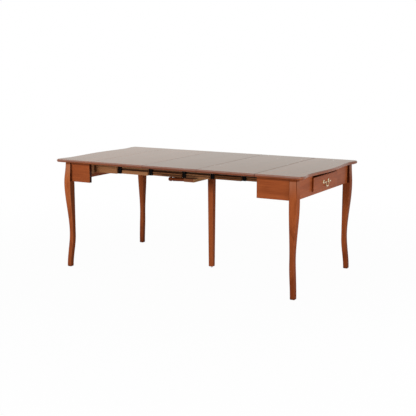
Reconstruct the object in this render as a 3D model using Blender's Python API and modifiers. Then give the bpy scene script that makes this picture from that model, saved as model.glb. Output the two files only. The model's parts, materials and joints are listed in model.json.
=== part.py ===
"""Extendable console table, pulled out to its full length with three leaves laid in.

Two half tops on bowed legs are carried apart by two packs of seven dovetailed wooden runners.
The middle runner of each pack is fixed to a bar on a fifth, straight leg.  A shallow drawer with
a brass drop pull fills the right end.  X runs along the table with the drawer at +X, Y across it
with the front at -Y, Z up from the floor.  All sizes are in metres.
"""
import math

import bmesh
import bpy
from mathutils import Matrix, Vector

# Clearances
FIT_GAP = 0.0003
SEAM_GAP = 0.0004
SLIDE_CLEARANCE = 0.0004

# How finely shapes are drawn: angles in degrees, and counts of facets
WELD_DISTANCE = 0.000005
FLAT_ANGLE = 0.2
SHARP_ANGLE = 50.0
ROUND_PROFILE = 0.5
BOARD_EDGE_SEGMENTS = 1
LEG_EDGE_SEGMENTS = 2
TOP_EDGE_SEGMENTS = 3
BOW_STEPS = 10
EAR_STEPS = 6
CORNER_STEPS = 5
LEG_STATIONS = 15
TURNED_SEGMENTS = 20
BAIL_STEPS = 8
BAIL_RESOLUTION = 2

# Top: two halves and the leaves between them
TABLE_HEIGHT = 0.786
TOP_WIDTH = 1.000
TOP_THICKNESS = 0.021
TOP_EDGE_ROUND = 0.009
TOP_EDGE_BAND = 0.002
HALF_DEPTH = 0.3305
LEAF_WIDTH = 0.4246
LEAF_NAMES = ("leaf_left", "leaf_middle", "leaf_right")
EAR_BACK = 0.007
EAR_RADIUS = 0.030
VALLEY_BACK = 0.022
VALLEY_FROM_EDGE = 0.150
EAR_FROM_EDGE = 0.045

# Corner legs: offsets of the outer and inner faces from the foot's outer plane, outwards positive
LEFT_OVERHANG_X = 0.0785
RIGHT_OVERHANG_X = 0.0490
LEG_OVERHANG_Y = 0.0155
LEG_EDGE_ROUND = 0.004
LEG_TOP_OUT = -0.004
LEG_KNEE_OUT = 0.006
LEG_KNEE_HEIGHT = 0.615
LEG_ANKLE_OUT = -0.015
LEG_ANKLE_HEIGHT = 0.255
LEG_INNER_FACE = -0.049
LEG_FOOT_WIDTH = 0.034
LEG_INNER_BEND_HEIGHT = 0.230

# Centre leg, its plate, the bar that it carries and the peg on the bar
CENTRE_LEG_OFFSET = 0.0207
CENTRE_LEG_TOP = 0.044
CENTRE_LEG_FOOT = 0.034
BAR_WIDTH = 0.081
BAR_OFFSET = -0.0097
BAR_THICKNESS = 0.031
PLATE_SIZE = 0.060
PLATE_THICKNESS = 0.004
PEG_LENGTH = 0.127
PEG_RADIUS = 0.0145
PEG_WAIST_RADIUS = 0.0105
PEG_ROD_RADIUS = 0.0100
PEG_RING_WIDTH = 0.008
PEG_RINGS = 3

# Aprons and the cleats behind the side aprons
APRON_HEIGHT = 0.1365
APRON_THICKNESS = 0.025
APRON_SETBACK = 0.014
APRON_EDGE_ROUND = 0.002
LEFT_APRON_GAP = 0.0395
RIGHT_APRON_GAP = 0.001
CLEAT_THICKNESS = 0.030
CLEAT_HEIGHT = 0.074

# Runners: seven in each pack, a outermost; shares of the half's travel that each has run out
RUNNER_LETTERS = "abcdefg"
RUNNER_SHARES = (-1.0, -0.655, -0.294, 0.0, 0.3962, 0.7594, 1.0)
LEFT_TRAVEL = 0.705
RUNNER_HEIGHT = 0.0695
RUNNER_THICKNESS = 0.0262
RUNNER_PLAY = 0.0008
RUNNER_END_GAP = 0.002
RUNNER_FAR_GAP = 0.0821
PACK_FROM_CLEAT = 0.0302
GROOVE_LIFT = 0.0317
GROOVE_MOUTH = 0.013
GROOVE_FLOOR = 0.017
GROOVE_DEPTH = 0.009
KEEPER_LENGTH = 0.026
KEEPER_THICKNESS = 0.010

# Drawer, hung on two strips on the innermost runners
DRAWER_FRONT_OVERLAP = 0.0137
DRAWER_FRONT_THICKNESS = 0.013
DRAWER_FRONT_ROUND = 0.0015
DRAWER_FRONT_LIFT = 0.023
DRAWER_FRONT_DROP = 0.0215
DRAWER_SIDE_THICKNESS = 0.012
DRAWER_SIDE_LIFT = 0.011
DRAWER_SIDE_DROP = 0.010
DRAWER_BOTTOM_THICKNESS = 0.006
DRAWER_BOTTOM_LIFT = 0.004
DRAWER_SIDE_PLAY = 0.001
DRAWER_BAR_CLEARANCE = 0.005
OPENING_MARGIN = 0.003
STRIP_GROOVE_HEIGHT = 0.013
STRIP_GROOVE_DEPTH = 0.0072
STRIP_FROM_SIDE_TOP = 0.0095

# Brass drop pull: two rosettes with posts, and a bail that hangs in them
PULL_SPACING = 0.080
ROSETTE_RADIUS = 0.0120
ROSETTE_SHOULDER_RADIUS = 0.0085
ROSETTE_THICKNESS = 0.003
ROSETTE_RIM = 0.001
POST_RADIUS = 0.0052
POST_LENGTH = 0.0125
POST_NOSE = 0.003
POST_TIP_RADIUS = 0.0026
BAIL_WIRE_RADIUS = 0.0024
BAIL_TURN_IN = 0.0048
BAIL_BORE_CLEARANCE = 0.0004
BAIL_DROP = 0.032
BAIL_WIDE = 0.003
BAIL_SHOULDER_DROP = 0.017
BAIL_NECK = 0.020

# Colours: linear red, green, blue, then roughness and metallic
FINISHES = {
    "cherry_lacquer": ((0.27, 0.085, 0.033), 0.28, 0.0),
    "runner_wood": ((0.36, 0.19, 0.095), 0.55, 0.0),
    "drawer_wood": ((0.48, 0.30, 0.17), 0.60, 0.0),
    "black_keeper": ((0.006, 0.005, 0.005), 0.45, 0.0),
    "brass": ((0.80, 0.62, 0.30), 0.25, 1.0),
    "plate_steel": ((0.35, 0.34, 0.33), 0.40, 1.0),
}

# Levels and planes worked out from the sizes above
UNDERSIDE = TABLE_HEIGHT - TOP_THICKNESS
FRAME_TOP = UNDERSIDE - FIT_GAP
LEAF_PITCH = LEAF_WIDTH + SEAM_GAP
LEAVES_SPAN = len(LEAF_NAMES) * LEAF_PITCH + SEAM_GAP
HALF_LENGTH = LEAVES_SPAN / 2 + HALF_DEPTH
HALF_WIDTH = TOP_WIDTH / 2
SEAM = LEAVES_SPAN / 2
RIGHT_TRAVEL = len(LEAF_NAMES) * LEAF_PITCH - LEFT_TRAVEL
LEG_X = {"left": HALF_LENGTH - LEFT_OVERHANG_X, "right": HALF_LENGTH - RIGHT_OVERHANG_X}
LEG_Y = HALF_WIDTH - LEG_OVERHANG_Y
LEG_INNER_Y = LEG_Y + LEG_INNER_FACE
APRON_BOTTOM = FRAME_TOP - APRON_HEIGHT
END_APRON_INNER = {half: x - APRON_SETBACK - APRON_THICKNESS for half, x in LEG_X.items()}
APRON_GAP = {"left": LEFT_APRON_GAP, "right": RIGHT_APRON_GAP}
SIDE_APRON_FACE = LEG_Y - APRON_SETBACK
SIDE_APRON_INNER = SIDE_APRON_FACE - APRON_THICKNESS
CLEAT_FACE = SIDE_APRON_INNER - FIT_GAP
PACK_OUTER = CLEAT_FACE - CLEAT_THICKNESS - PACK_FROM_CLEAT
CLOSED_ROOM = sum(END_APRON_INNER.values()) - LEFT_TRAVEL - RIGHT_TRAVEL
RUNNER_LENGTH = CLOSED_ROOM - RUNNER_END_GAP - FIT_GAP - KEEPER_LENGTH - RUNNER_FAR_GAP
RUNNER_BOTTOM = FRAME_TOP - RUNNER_HEIGHT
RUNNER_PITCH = RUNNER_THICKNESS + RUNNER_PLAY
RUNNER_HOME = LEFT_TRAVEL - END_APRON_INNER["left"] + RUNNER_END_GAP
GROOVE_CENTRE = RUNNER_BOTTOM + GROOVE_LIFT
CENTRE_LEG_X = RUNNER_HOME + RUNNER_LENGTH / 2 + CENTRE_LEG_OFFSET
MIDDLE_RUNNER_OUTER = PACK_OUTER - RUNNER_LETTERS.index("d") * RUNNER_PITCH
PACK_INNER = PACK_OUTER - (len(RUNNER_LETTERS) - 1) * RUNNER_PITCH - RUNNER_THICKNESS
BAR_TOP = RUNNER_BOTTOM - FIT_GAP
BAR_BOTTOM = BAR_TOP - BAR_THICKNESS
BAR_LEFT = CENTRE_LEG_X + BAR_OFFSET - BAR_WIDTH / 2
BAR_RIGHT = BAR_LEFT + BAR_WIDTH
PLATE_BOTTOM = BAR_BOTTOM - FIT_GAP - PLATE_THICKNESS
DRAWER_HALF = PACK_INNER - DRAWER_SIDE_PLAY
DRAWER_FRONT_HALF = DRAWER_HALF + DRAWER_FRONT_OVERLAP
DRAWER_REAR = BAR_RIGHT + RIGHT_TRAVEL + DRAWER_BAR_CLEARANCE
DRAWER_FRONT_REAR = END_APRON_INNER["right"] + APRON_THICKNESS + FIT_GAP
DRAWER_FACE = DRAWER_FRONT_REAR + DRAWER_FRONT_THICKNESS
DRAWER_FRONT_BOTTOM = APRON_BOTTOM + DRAWER_FRONT_LIFT
DRAWER_FRONT_TOP = FRAME_TOP - DRAWER_FRONT_DROP
DRAWER_BOX_BOTTOM = DRAWER_FRONT_BOTTOM + DRAWER_SIDE_LIFT
DRAWER_BOX_TOP = DRAWER_FRONT_TOP - DRAWER_SIDE_DROP
STRIP_HEIGHT_CENTRE = DRAWER_BOX_TOP - STRIP_FROM_SIDE_TOP
PULL_HEIGHT = (DRAWER_FRONT_BOTTOM + DRAWER_FRONT_TOP) / 2
PULL_AXIS_X = DRAWER_FACE + FIT_GAP + ROSETTE_THICKNESS + POST_LENGTH - POST_RADIUS
BAIL_BORE_RADIUS = BAIL_WIRE_RADIUS + BAIL_BORE_CLEARANCE

SIDES = {"front": -1, "back": 1}
ENDS = {"left": -1, "right": 1}
# Local axes of a flat outline when its thickness runs along world X or stays along Z
ALONG_X = Matrix.Rotation(math.pi / 2, 4, "Z") @ Matrix.Rotation(math.pi / 2, 4, "X")
ALONG_Z = Matrix.Identity(4)


def clear_scene():
    """Remove everything that the open file holds."""
    for thing in list(bpy.data.objects):
        bpy.data.objects.remove(thing, do_unlink=True)


def new_collection(name):
    """A collection in the scene, for the pieces or for the cutters."""
    group = bpy.data.collections.new(name)
    bpy.context.scene.collection.children.link(group)
    return group


def finish(name):
    """The Principled material of one of the finishes, made on its first use."""
    if name in bpy.data.materials:
        return bpy.data.materials[name]
    colour, roughness, metallic = FINISHES[name]
    mat = bpy.data.materials.new(name)
    mat.use_nodes = True
    shader = mat.node_tree.nodes["Principled BSDF"]
    shader.inputs["Base Color"].default_value = (*colour, 1.0)
    shader.inputs["Roughness"].default_value = roughness
    shader.inputs["Metallic"].default_value = metallic
    mat.diffuse_color = (*colour, 1.0)
    return mat


class Body:
    """A group of pieces that move as one, on an empty at the group's reference point."""

    def __init__(self, name, at, pieces, carrier=None):
        self.at = Vector(at)
        self.pieces = pieces
        self.empty = bpy.data.objects.new(name + "_origin", None)
        pieces.objects.link(self.empty)
        self.empty.location = self.at
        if carrier:
            self.empty.parent = carrier.empty
            self.empty.location = self.at - carrier.at

    def add(self, name, mesh, at, mat):
        """A named piece of this body with its origin at a world point."""
        piece = bpy.data.objects.new(name, mesh)
        mesh.name = name
        mesh.materials.clear()
        mesh.materials.append(finish(mat))
        self.pieces.objects.link(piece)
        piece.parent = self.empty
        piece.location = Vector(at) - self.at
        return piece


def mesh_from(bm):
    """A mesh from an edited shape, with its faces turned outwards."""
    bmesh.ops.recalc_face_normals(bm, faces=bm.faces)
    mesh = bpy.data.meshes.new("shape")
    bm.to_mesh(mesh)
    bm.free()
    return mesh


def smooth(mesh):
    """Shade a round piece smooth, with its sharp edges kept."""
    mesh.shade_smooth()
    mesh.set_sharp_from_angle(angle=math.radians(SHARP_ANGLE))
    return mesh


def box(body, name, low, high, mat, edge_round=0.0):
    """A board between two world corners, with its edges eased where a radius is given."""
    low, high = Vector(low), Vector(high)
    bm = bmesh.new()
    bmesh.ops.create_cube(bm, size=1.0)
    bmesh.ops.scale(bm, vec=high - low, verts=bm.verts)
    piece = body.add(name, mesh_from(bm), (low + high) / 2, mat)
    if edge_round:
        ease(piece, edge_round, BOARD_EDGE_SEGMENTS)
    return piece


def ease(piece, radius, segments):
    """Round the sharp edges of a piece."""
    bevel = piece.modifiers.new("eased_edges", "BEVEL")
    bevel.width = radius
    bevel.segments = segments
    bevel.limit_method = "ANGLE"
    bevel.angle_limit = math.radians(SHARP_ANGLE)


def made_mesh(source):
    """The evaluated mesh of a temporary object, welded closed; the object is removed."""
    bpy.context.scene.collection.objects.link(source)
    graph = bpy.context.evaluated_depsgraph_get()
    mesh = bpy.data.meshes.new_from_object(source.evaluated_get(graph))
    bpy.data.objects.remove(source, do_unlink=True)
    bm = bmesh.new()
    bm.from_mesh(mesh)
    bmesh.ops.remove_doubles(bm, verts=bm.verts, dist=WELD_DISTANCE)
    return bm


def outline_solid(outline, thickness, turn):
    """A flat outline given thickness about its plane, as an edited shape turned to its axes."""
    flat = bpy.data.curves.new("outline", "CURVE")
    flat.dimensions = "2D"
    flat.fill_mode = "BOTH"
    flat.extrude = thickness / 2
    spline = flat.splines.new("POLY")
    spline.points.add(len(outline) - 1)
    for point, (u, v) in zip(spline.points, outline):
        point.co = (u, v, 0.0, 1.0)
    spline.use_cyclic_u = True
    bm = made_mesh(bpy.data.objects.new("outline", flat))
    bmesh.ops.dissolve_limit(bm, angle_limit=math.radians(FLAT_ANGLE), verts=bm.verts, edges=bm.edges)
    bmesh.ops.transform(bm, matrix=turn, verts=bm.verts)
    return bm


def turned_mesh(profile):
    """A turned solid about X from (along, radius) points that start and end on the axis."""
    lathe = bpy.data.meshes.new("profile")
    bm = bmesh.new()
    points = [bm.verts.new((radius, 0.0, along)) for along, radius in reversed(profile)]
    for first, second in zip(points, points[1:]):
        bm.edges.new((first, second))
    bm.to_mesh(lathe)
    bm.free()
    source = bpy.data.objects.new("profile", lathe)
    screw = source.modifiers.new("turn", "SCREW")
    screw.steps = TURNED_SEGMENTS
    screw.render_steps = TURNED_SEGMENTS
    screw.use_merge_vertices = True
    screw.merge_threshold = WELD_DISTANCE
    solid = made_mesh(source)
    bmesh.ops.transform(solid, matrix=Matrix.Rotation(math.pi / 2, 4, "Y"), verts=solid.verts)
    return smooth(mesh_from(solid))


def eased(low, high, share):
    """A smooth step from one value to another."""
    return low + (high - low) * share * share * (3 - 2 * share)


def end_setback(across):
    """How far the end of a half top lies behind its bow, at a distance from the middle."""
    valley = HALF_WIDTH - VALLEY_FROM_EDGE
    ear = HALF_WIDTH - EAR_FROM_EDGE
    if across <= valley:
        return eased(0.0, VALLEY_BACK, across / valley)
    return eased(VALLEY_BACK, EAR_BACK, min(1.0, (across - valley) / (ear - valley)))


def half_top(body, half):
    """Half the top: a straight seam, rounded ears and a bowed serpentine end, edges rounded."""
    end = ENDS[half]
    seam = end * SEAM
    valley = HALF_WIDTH - VALLEY_FROM_EDGE
    corner = HALF_WIDTH - EAR_RADIUS
    across = [valley * i / BOW_STEPS for i in range(BOW_STEPS)]
    across += [valley + (corner - valley) * i / EAR_STEPS for i in range(EAR_STEPS + 1)]
    quarter = [(end * (HALF_LENGTH - end_setback(y)), y) for y in across]
    for i in range(1, CORNER_STEPS + 1):
        angle = math.pi / 2 * i / CORNER_STEPS
        along = HALF_LENGTH - EAR_BACK - EAR_RADIUS * (1 - math.cos(angle))
        quarter.append((end * along, corner + EAR_RADIUS * math.sin(angle)))
    other = [(x, -y) for x, y in reversed(quarter[1:])]
    outline = other + quarter + [(seam, HALF_WIDTH), (seam, -HALF_WIDTH)]
    bm = outline_solid(outline, TOP_THICKNESS, ALONG_Z)
    outer = [
        edge for edge in bm.edges
        if not all(abs(vert.co.x - seam) < FIT_GAP for vert in edge.verts)
        and abs(edge.verts[0].co.z - edge.verts[1].co.z) < FIT_GAP
    ]
    round_edges(bm, outer)
    middle = (0.0, 0.0, UNDERSIDE + TOP_THICKNESS / 2)
    return body.add(half + "_top", mesh_from(bm), middle, "cherry_lacquer")


def round_edges(bm, edges):
    """Round the rim of a top or a leaf."""
    radius = min(TOP_EDGE_ROUND, (TOP_THICKNESS - TOP_EDGE_BAND) / 2)
    bmesh.ops.bevel(bm, geom=edges, offset=radius, segments=TOP_EDGE_SEGMENTS,
                    profile=ROUND_PROFILE, affect="EDGES")


def leaf(body, name, low_x):
    """A loose leaf: square at its seams, rounded at the front and back."""
    bm = bmesh.new()
    bmesh.ops.create_cube(bm, size=1.0)
    bmesh.ops.scale(bm, vec=(LEAF_WIDTH, TOP_WIDTH, TOP_THICKNESS), verts=bm.verts)
    along = [edge for edge in bm.edges if abs(edge.verts[0].co.x - edge.verts[1].co.x) > LEAF_WIDTH / 2]
    round_edges(bm, along)
    centre = (low_x + LEAF_WIDTH / 2, 0.0, UNDERSIDE + TOP_THICKNESS / 2)
    return body.add(name, mesh_from(bm), centre, "cherry_lacquer")


def leg_faces(height):
    """Offsets of a corner leg's outer and inner faces at a height: knee, ankle and turned-out foot."""
    if height >= LEG_KNEE_HEIGHT:
        outer = eased(LEG_KNEE_OUT, LEG_TOP_OUT, (height - LEG_KNEE_HEIGHT) / (FRAME_TOP - LEG_KNEE_HEIGHT))
    elif height >= LEG_ANKLE_HEIGHT:
        share = (height - LEG_ANKLE_HEIGHT) / (LEG_KNEE_HEIGHT - LEG_ANKLE_HEIGHT)
        outer = eased(LEG_ANKLE_OUT, LEG_KNEE_OUT, share)
    else:
        outer = eased(0.0, LEG_ANKLE_OUT, height / LEG_ANKLE_HEIGHT)
    inner = eased(-LEG_FOOT_WIDTH, LEG_INNER_FACE, min(1.0, height / LEG_INNER_BEND_HEIGHT))
    return outer, inner


def square_leg(section):
    """A square leg drawn up from its foot; section gives (height, middle x, middle y, width) upwards."""
    height, mid_x, mid_y, width = section[0]
    bm = bmesh.new()
    bmesh.ops.create_grid(bm, x_segments=1, y_segments=1, size=0.5)
    bmesh.ops.scale(bm, vec=(width, width, 1.0), verts=bm.verts)
    bmesh.ops.translate(bm, vec=(mid_x, mid_y, height), verts=bm.verts)
    sole = list(bm.faces)
    cap = sole
    for last, this in zip(section, section[1:]):
        drawn = bmesh.ops.extrude_face_region(bm, geom=cap)["geom"]
        if cap is not sole:
            bmesh.ops.delete(bm, geom=cap, context="FACES_ONLY")
        cap = [part for part in drawn if isinstance(part, bmesh.types.BMFace)]
        verts = [part for part in drawn if isinstance(part, bmesh.types.BMVert)]
        about = Matrix.Translation((-last[1], -last[2], 0.0))
        bmesh.ops.scale(bm, vec=(this[3] / last[3], this[3] / last[3], 1.0), space=about, verts=verts)
        step = Vector((this[1] - last[1], this[2] - last[2], this[0] - last[0]))
        bmesh.ops.translate(bm, vec=step, verts=verts)
    return mesh_from(bm)


def corner_leg(body, half, side_name):
    """A bowed leg whose S-curve is the same in both directions, with straight inner faces at the top."""
    end, side = ENDS[half], SIDES[side_name]
    section = []
    for i in range(LEG_STATIONS):
        height = FRAME_TOP * i / (LEG_STATIONS - 1)
        outer, inner = leg_faces(height)
        middle = (outer + inner) / 2
        section.append((height, end * middle, side * middle, outer - inner))
    foot = (end * LEG_X[half], side * LEG_Y, 0.0)
    leg = body.add(f"{half}_{side_name}_leg", square_leg(section), foot, "cherry_lacquer")
    ease(leg, LEG_EDGE_ROUND, LEG_EDGE_SEGMENTS)


def half_frame(body, half):
    """The legs, side aprons and cleats under one half top."""
    end = ENDS[half]
    seam_side = end * (SEAM + APRON_GAP[half])
    leg_side = LEG_X[half] + LEG_INNER_FACE - FIT_GAP
    cleat_end = min(leg_side, END_APRON_INNER[half] - FIT_GAP)
    low_x, high_x = sorted((end * leg_side, seam_side))
    cleat_low, cleat_high = sorted((end * cleat_end, seam_side))
    for side_name, side in SIDES.items():
        corner_leg(body, half, side_name)
        low_y, high_y = sorted((side * SIDE_APRON_INNER, side * SIDE_APRON_FACE))
        box(body, f"{half}_{side_name}_apron", (low_x, low_y, APRON_BOTTOM), (high_x, high_y, FRAME_TOP),
            "cherry_lacquer", APRON_EDGE_ROUND)
        low_y, high_y = sorted((side * CLEAT_FACE, side * (CLEAT_FACE - CLEAT_THICKNESS)))
        box(body, f"{half}_{side_name}_cleat", (cleat_low, low_y, FRAME_TOP - CLEAT_HEIGHT),
            (cleat_high, high_y, FRAME_TOP), "runner_wood")


def left_end_apron(body):
    """The plain board across the left end."""
    reach = LEG_INNER_Y - FIT_GAP
    inner = -END_APRON_INNER["left"]
    box(body, "left_end_apron", (inner - APRON_THICKNESS, -reach, APRON_BOTTOM), (inner, reach, FRAME_TOP),
        "cherry_lacquer", APRON_EDGE_ROUND)


def right_end_apron(body):
    """The board across the right end, cut out from its top edge for the drawer box."""
    reach = LEG_INNER_Y - FIT_GAP
    cut = DRAWER_HALF + OPENING_MARGIN
    sill = DRAWER_BOX_BOTTOM - OPENING_MARGIN
    outline = [
        (-reach, APRON_BOTTOM), (reach, APRON_BOTTOM), (reach, FRAME_TOP), (cut, FRAME_TOP),
        (cut, sill), (-cut, sill), (-cut, FRAME_TOP), (-reach, FRAME_TOP),
    ]
    mesh = mesh_from(outline_solid(outline, APRON_THICKNESS, ALONG_X))
    middle = (END_APRON_INNER["right"] + APRON_THICKNESS / 2, 0.0, 0.0)
    board = body.add("right_end_apron", mesh, middle, "cherry_lacquer")
    ease(board, APRON_EDGE_ROUND, BOARD_EDGE_SEGMENTS)


def runner_outline(outer, grooved, tongued):
    """Section of a runner as (outwards, up) points: a dovetail groove outside, a tongue inside."""
    inner = outer - RUNNER_THICKNESS
    flare = (GROOVE_FLOOR - GROOVE_MOUTH) / 2 / GROOVE_DEPTH
    tongue_tip = GROOVE_DEPTH - SLIDE_CLEARANCE
    tip_half = GROOVE_MOUTH / 2 + flare * tongue_tip - SLIDE_CLEARANCE
    root_half = GROOVE_MOUTH / 2 - flare * RUNNER_PLAY - SLIDE_CLEARANCE
    tip = inner - RUNNER_PLAY - tongue_tip
    outline = [(inner, RUNNER_BOTTOM), (outer, RUNNER_BOTTOM)]
    if grooved:
        floor = outer - GROOVE_DEPTH
        outline += [
            (outer, GROOVE_CENTRE - GROOVE_MOUTH / 2), (floor, GROOVE_CENTRE - GROOVE_FLOOR / 2),
            (floor, GROOVE_CENTRE + GROOVE_FLOOR / 2), (outer, GROOVE_CENTRE + GROOVE_MOUTH / 2),
        ]
    outline += [(outer, FRAME_TOP), (inner, FRAME_TOP)]
    if tongued:
        outline += [
            (inner, GROOVE_CENTRE + root_half), (tip, GROOVE_CENTRE + tip_half),
            (tip, GROOVE_CENTRE - tip_half), (inner, GROOVE_CENTRE - root_half),
        ]
    return outline


def runner(body, side_name, index):
    """One runner of a pack where it has slid to, with the black keeper on its right end."""
    side = SIDES[side_name]
    letter = RUNNER_LETTERS[index]
    last = index == len(RUNNER_LETTERS) - 1
    outer = PACK_OUTER - index * RUNNER_PITCH
    travel = LEFT_TRAVEL if RUNNER_SHARES[index] < 0 else RIGHT_TRAVEL
    left_end = RUNNER_HOME + RUNNER_SHARES[index] * travel
    outline = [(side * u, v) for u, v in runner_outline(outer, index > 0, not last)]
    mesh = mesh_from(outline_solid(outline, RUNNER_LENGTH, ALONG_X))
    body.add(f"{side_name}_runner_{letter}", mesh, (left_end + RUNNER_LENGTH / 2, 0.0, 0.0), "runner_wood")
    if last:
        return
    start = left_end + RUNNER_LENGTH + FIT_GAP
    inner = outer - RUNNER_THICKNESS
    low_y, high_y = sorted((side * inner, side * (inner + KEEPER_THICKNESS)))
    box(body, f"{side_name}_keeper_{letter}", (start, low_y, RUNNER_BOTTOM),
        (start + KEEPER_LENGTH, high_y, FRAME_TOP), "black_keeper")


def centre_support(body):
    """The straight fifth leg, its plate, the bar under the middle runners and the turned peg on it."""
    top = PLATE_BOTTOM - FIT_GAP
    section = [(0.0, 0.0, 0.0, CENTRE_LEG_FOOT), (top, 0.0, 0.0, CENTRE_LEG_TOP)]
    leg = body.add("centre_leg", square_leg(section), (CENTRE_LEG_X, 0.0, 0.0), "cherry_lacquer")
    ease(leg, LEG_EDGE_ROUND, LEG_EDGE_SEGMENTS)
    half_plate = PLATE_SIZE / 2
    box(body, "centre_leg_plate", (CENTRE_LEG_X - half_plate, -half_plate, PLATE_BOTTOM),
        (CENTRE_LEG_X + half_plate, half_plate, PLATE_BOTTOM + PLATE_THICKNESS), "plate_steel")
    box(body, "centre_bar", (BAR_LEFT, -MIDDLE_RUNNER_OUTER, BAR_BOTTOM),
        (BAR_RIGHT, MIDDLE_RUNNER_OUTER, BAR_TOP), "runner_wood", APRON_EDGE_ROUND)
    slope = PEG_RING_WIDTH / 3
    profile = [(-PEG_LENGTH, 0.0), (-PEG_LENGTH, PEG_WAIST_RADIUS), (slope - PEG_LENGTH, PEG_RADIUS)]
    for ring in range(1, PEG_RINGS + 1):
        groove = 2 * ring * PEG_RING_WIDTH - PEG_LENGTH
        profile += [(groove, PEG_RADIUS), (groove + slope, PEG_WAIST_RADIUS)]
        profile += [(groove + 2 * slope, PEG_WAIST_RADIUS), (groove + PEG_RING_WIDTH, PEG_RADIUS)]
    knob_end = 2 * (PEG_RINGS + 1) * PEG_RING_WIDTH - PEG_LENGTH
    profile += [(knob_end, PEG_RADIUS), (knob_end + slope, PEG_ROD_RADIUS)]
    profile += [(0.0, PEG_ROD_RADIUS), (0.0, 0.0)]
    peg_at = (BAR_LEFT - FIT_GAP, PEG_RADIUS - MIDDLE_RUNNER_OUTER, BAR_BOTTOM + PEG_RADIUS)
    body.add("bar_peg", turned_mesh(profile), peg_at, "cherry_lacquer")


def drawer_strips(body):
    """The hanging strips on the inner faces of the innermost runners."""
    half = STRIP_GROOVE_HEIGHT / 2 - SLIDE_CLEARANCE
    outer = PACK_INNER - FIT_GAP
    inner = DRAWER_HALF - STRIP_GROOVE_DEPTH + SLIDE_CLEARANCE
    for side_name, side in SIDES.items():
        low_y, high_y = sorted((side * inner, side * outer))
        box(body, f"drawer_strip_{side_name}", (DRAWER_REAR, low_y, STRIP_HEIGHT_CENTRE - half),
            (END_APRON_INNER["right"] - FIT_GAP, high_y, STRIP_HEIGHT_CENTRE + half), "runner_wood")


def drawer_box(body):
    """The drawer: overlaid front, grooved sides, back and bottom."""
    box(body, "drawer_front", (DRAWER_FRONT_REAR, -DRAWER_FRONT_HALF, DRAWER_FRONT_BOTTOM),
        (DRAWER_FACE, DRAWER_FRONT_HALF, DRAWER_FRONT_TOP), "cherry_lacquer", DRAWER_FRONT_ROUND)
    front_end = DRAWER_FRONT_REAR - FIT_GAP
    length = front_end - DRAWER_REAR
    inner = DRAWER_HALF - DRAWER_SIDE_THICKNESS
    slot_low = STRIP_HEIGHT_CENTRE - STRIP_GROOVE_HEIGHT / 2
    slot_high = STRIP_HEIGHT_CENTRE + STRIP_GROOVE_HEIGHT / 2
    slot_floor = DRAWER_HALF - STRIP_GROOVE_DEPTH
    section = [
        (inner, DRAWER_BOX_BOTTOM), (DRAWER_HALF, DRAWER_BOX_BOTTOM), (DRAWER_HALF, slot_low),
        (slot_floor, slot_low), (slot_floor, slot_high), (DRAWER_HALF, slot_high),
        (DRAWER_HALF, DRAWER_BOX_TOP), (inner, DRAWER_BOX_TOP),
    ]
    for side_name, side in SIDES.items():
        outline = [(side * u, v) for u, v in section]
        mesh = mesh_from(outline_solid(outline, length, ALONG_X))
        body.add(f"drawer_side_{side_name}", mesh, (DRAWER_REAR + length / 2, 0.0, 0.0), "drawer_wood")
    reach = inner - FIT_GAP
    floor_low = DRAWER_BOX_BOTTOM + DRAWER_BOTTOM_LIFT
    floor_high = floor_low + DRAWER_BOTTOM_THICKNESS
    box(body, "drawer_bottom", (DRAWER_REAR, -reach, floor_low),
        (front_end, reach, floor_high), "drawer_wood")
    box(body, "drawer_back", (DRAWER_REAR, -reach, floor_high + FIT_GAP),
        (DRAWER_REAR + DRAWER_SIDE_THICKNESS, reach, DRAWER_BOX_TOP), "drawer_wood")


def rosette(body, name, side, cutters):
    """A turned rosette and post, bored across for the end of the bail."""
    length = ROSETTE_THICKNESS + POST_LENGTH
    profile = [
        (0.0, 0.0), (0.0, ROSETTE_RADIUS), (ROSETTE_RIM, ROSETTE_RADIUS),
        (ROSETTE_THICKNESS, ROSETTE_SHOULDER_RADIUS), (ROSETTE_THICKNESS, POST_RADIUS),
        (length, POST_RADIUS), (length + POST_NOSE, POST_TIP_RADIUS), (length + POST_NOSE, 0.0),
    ]
    at = Vector((DRAWER_FACE + FIT_GAP, side * PULL_SPACING / 2, PULL_HEIGHT))
    piece = body.add(name, turned_mesh(profile), at, "brass")
    bm = bmesh.new()
    bmesh.ops.create_cone(bm, cap_ends=True, segments=TURNED_SEGMENTS, radius1=BAIL_BORE_RADIUS,
                          radius2=BAIL_BORE_RADIUS, depth=2 * ROSETTE_RADIUS,
                          matrix=Matrix.Rotation(math.pi / 2, 4, "X"))
    drill = bpy.data.objects.new(name + "_drill", mesh_from(bm))
    cutters.objects.link(drill)
    drill.location = (PULL_AXIS_X, at.y, PULL_HEIGHT)
    drill.hide_render = True
    drill.display_type = "WIRE"
    bore = piece.modifiers.new("bail_bore", "BOOLEAN")
    bore.operation = "DIFFERENCE"
    bore.object = drill


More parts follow.
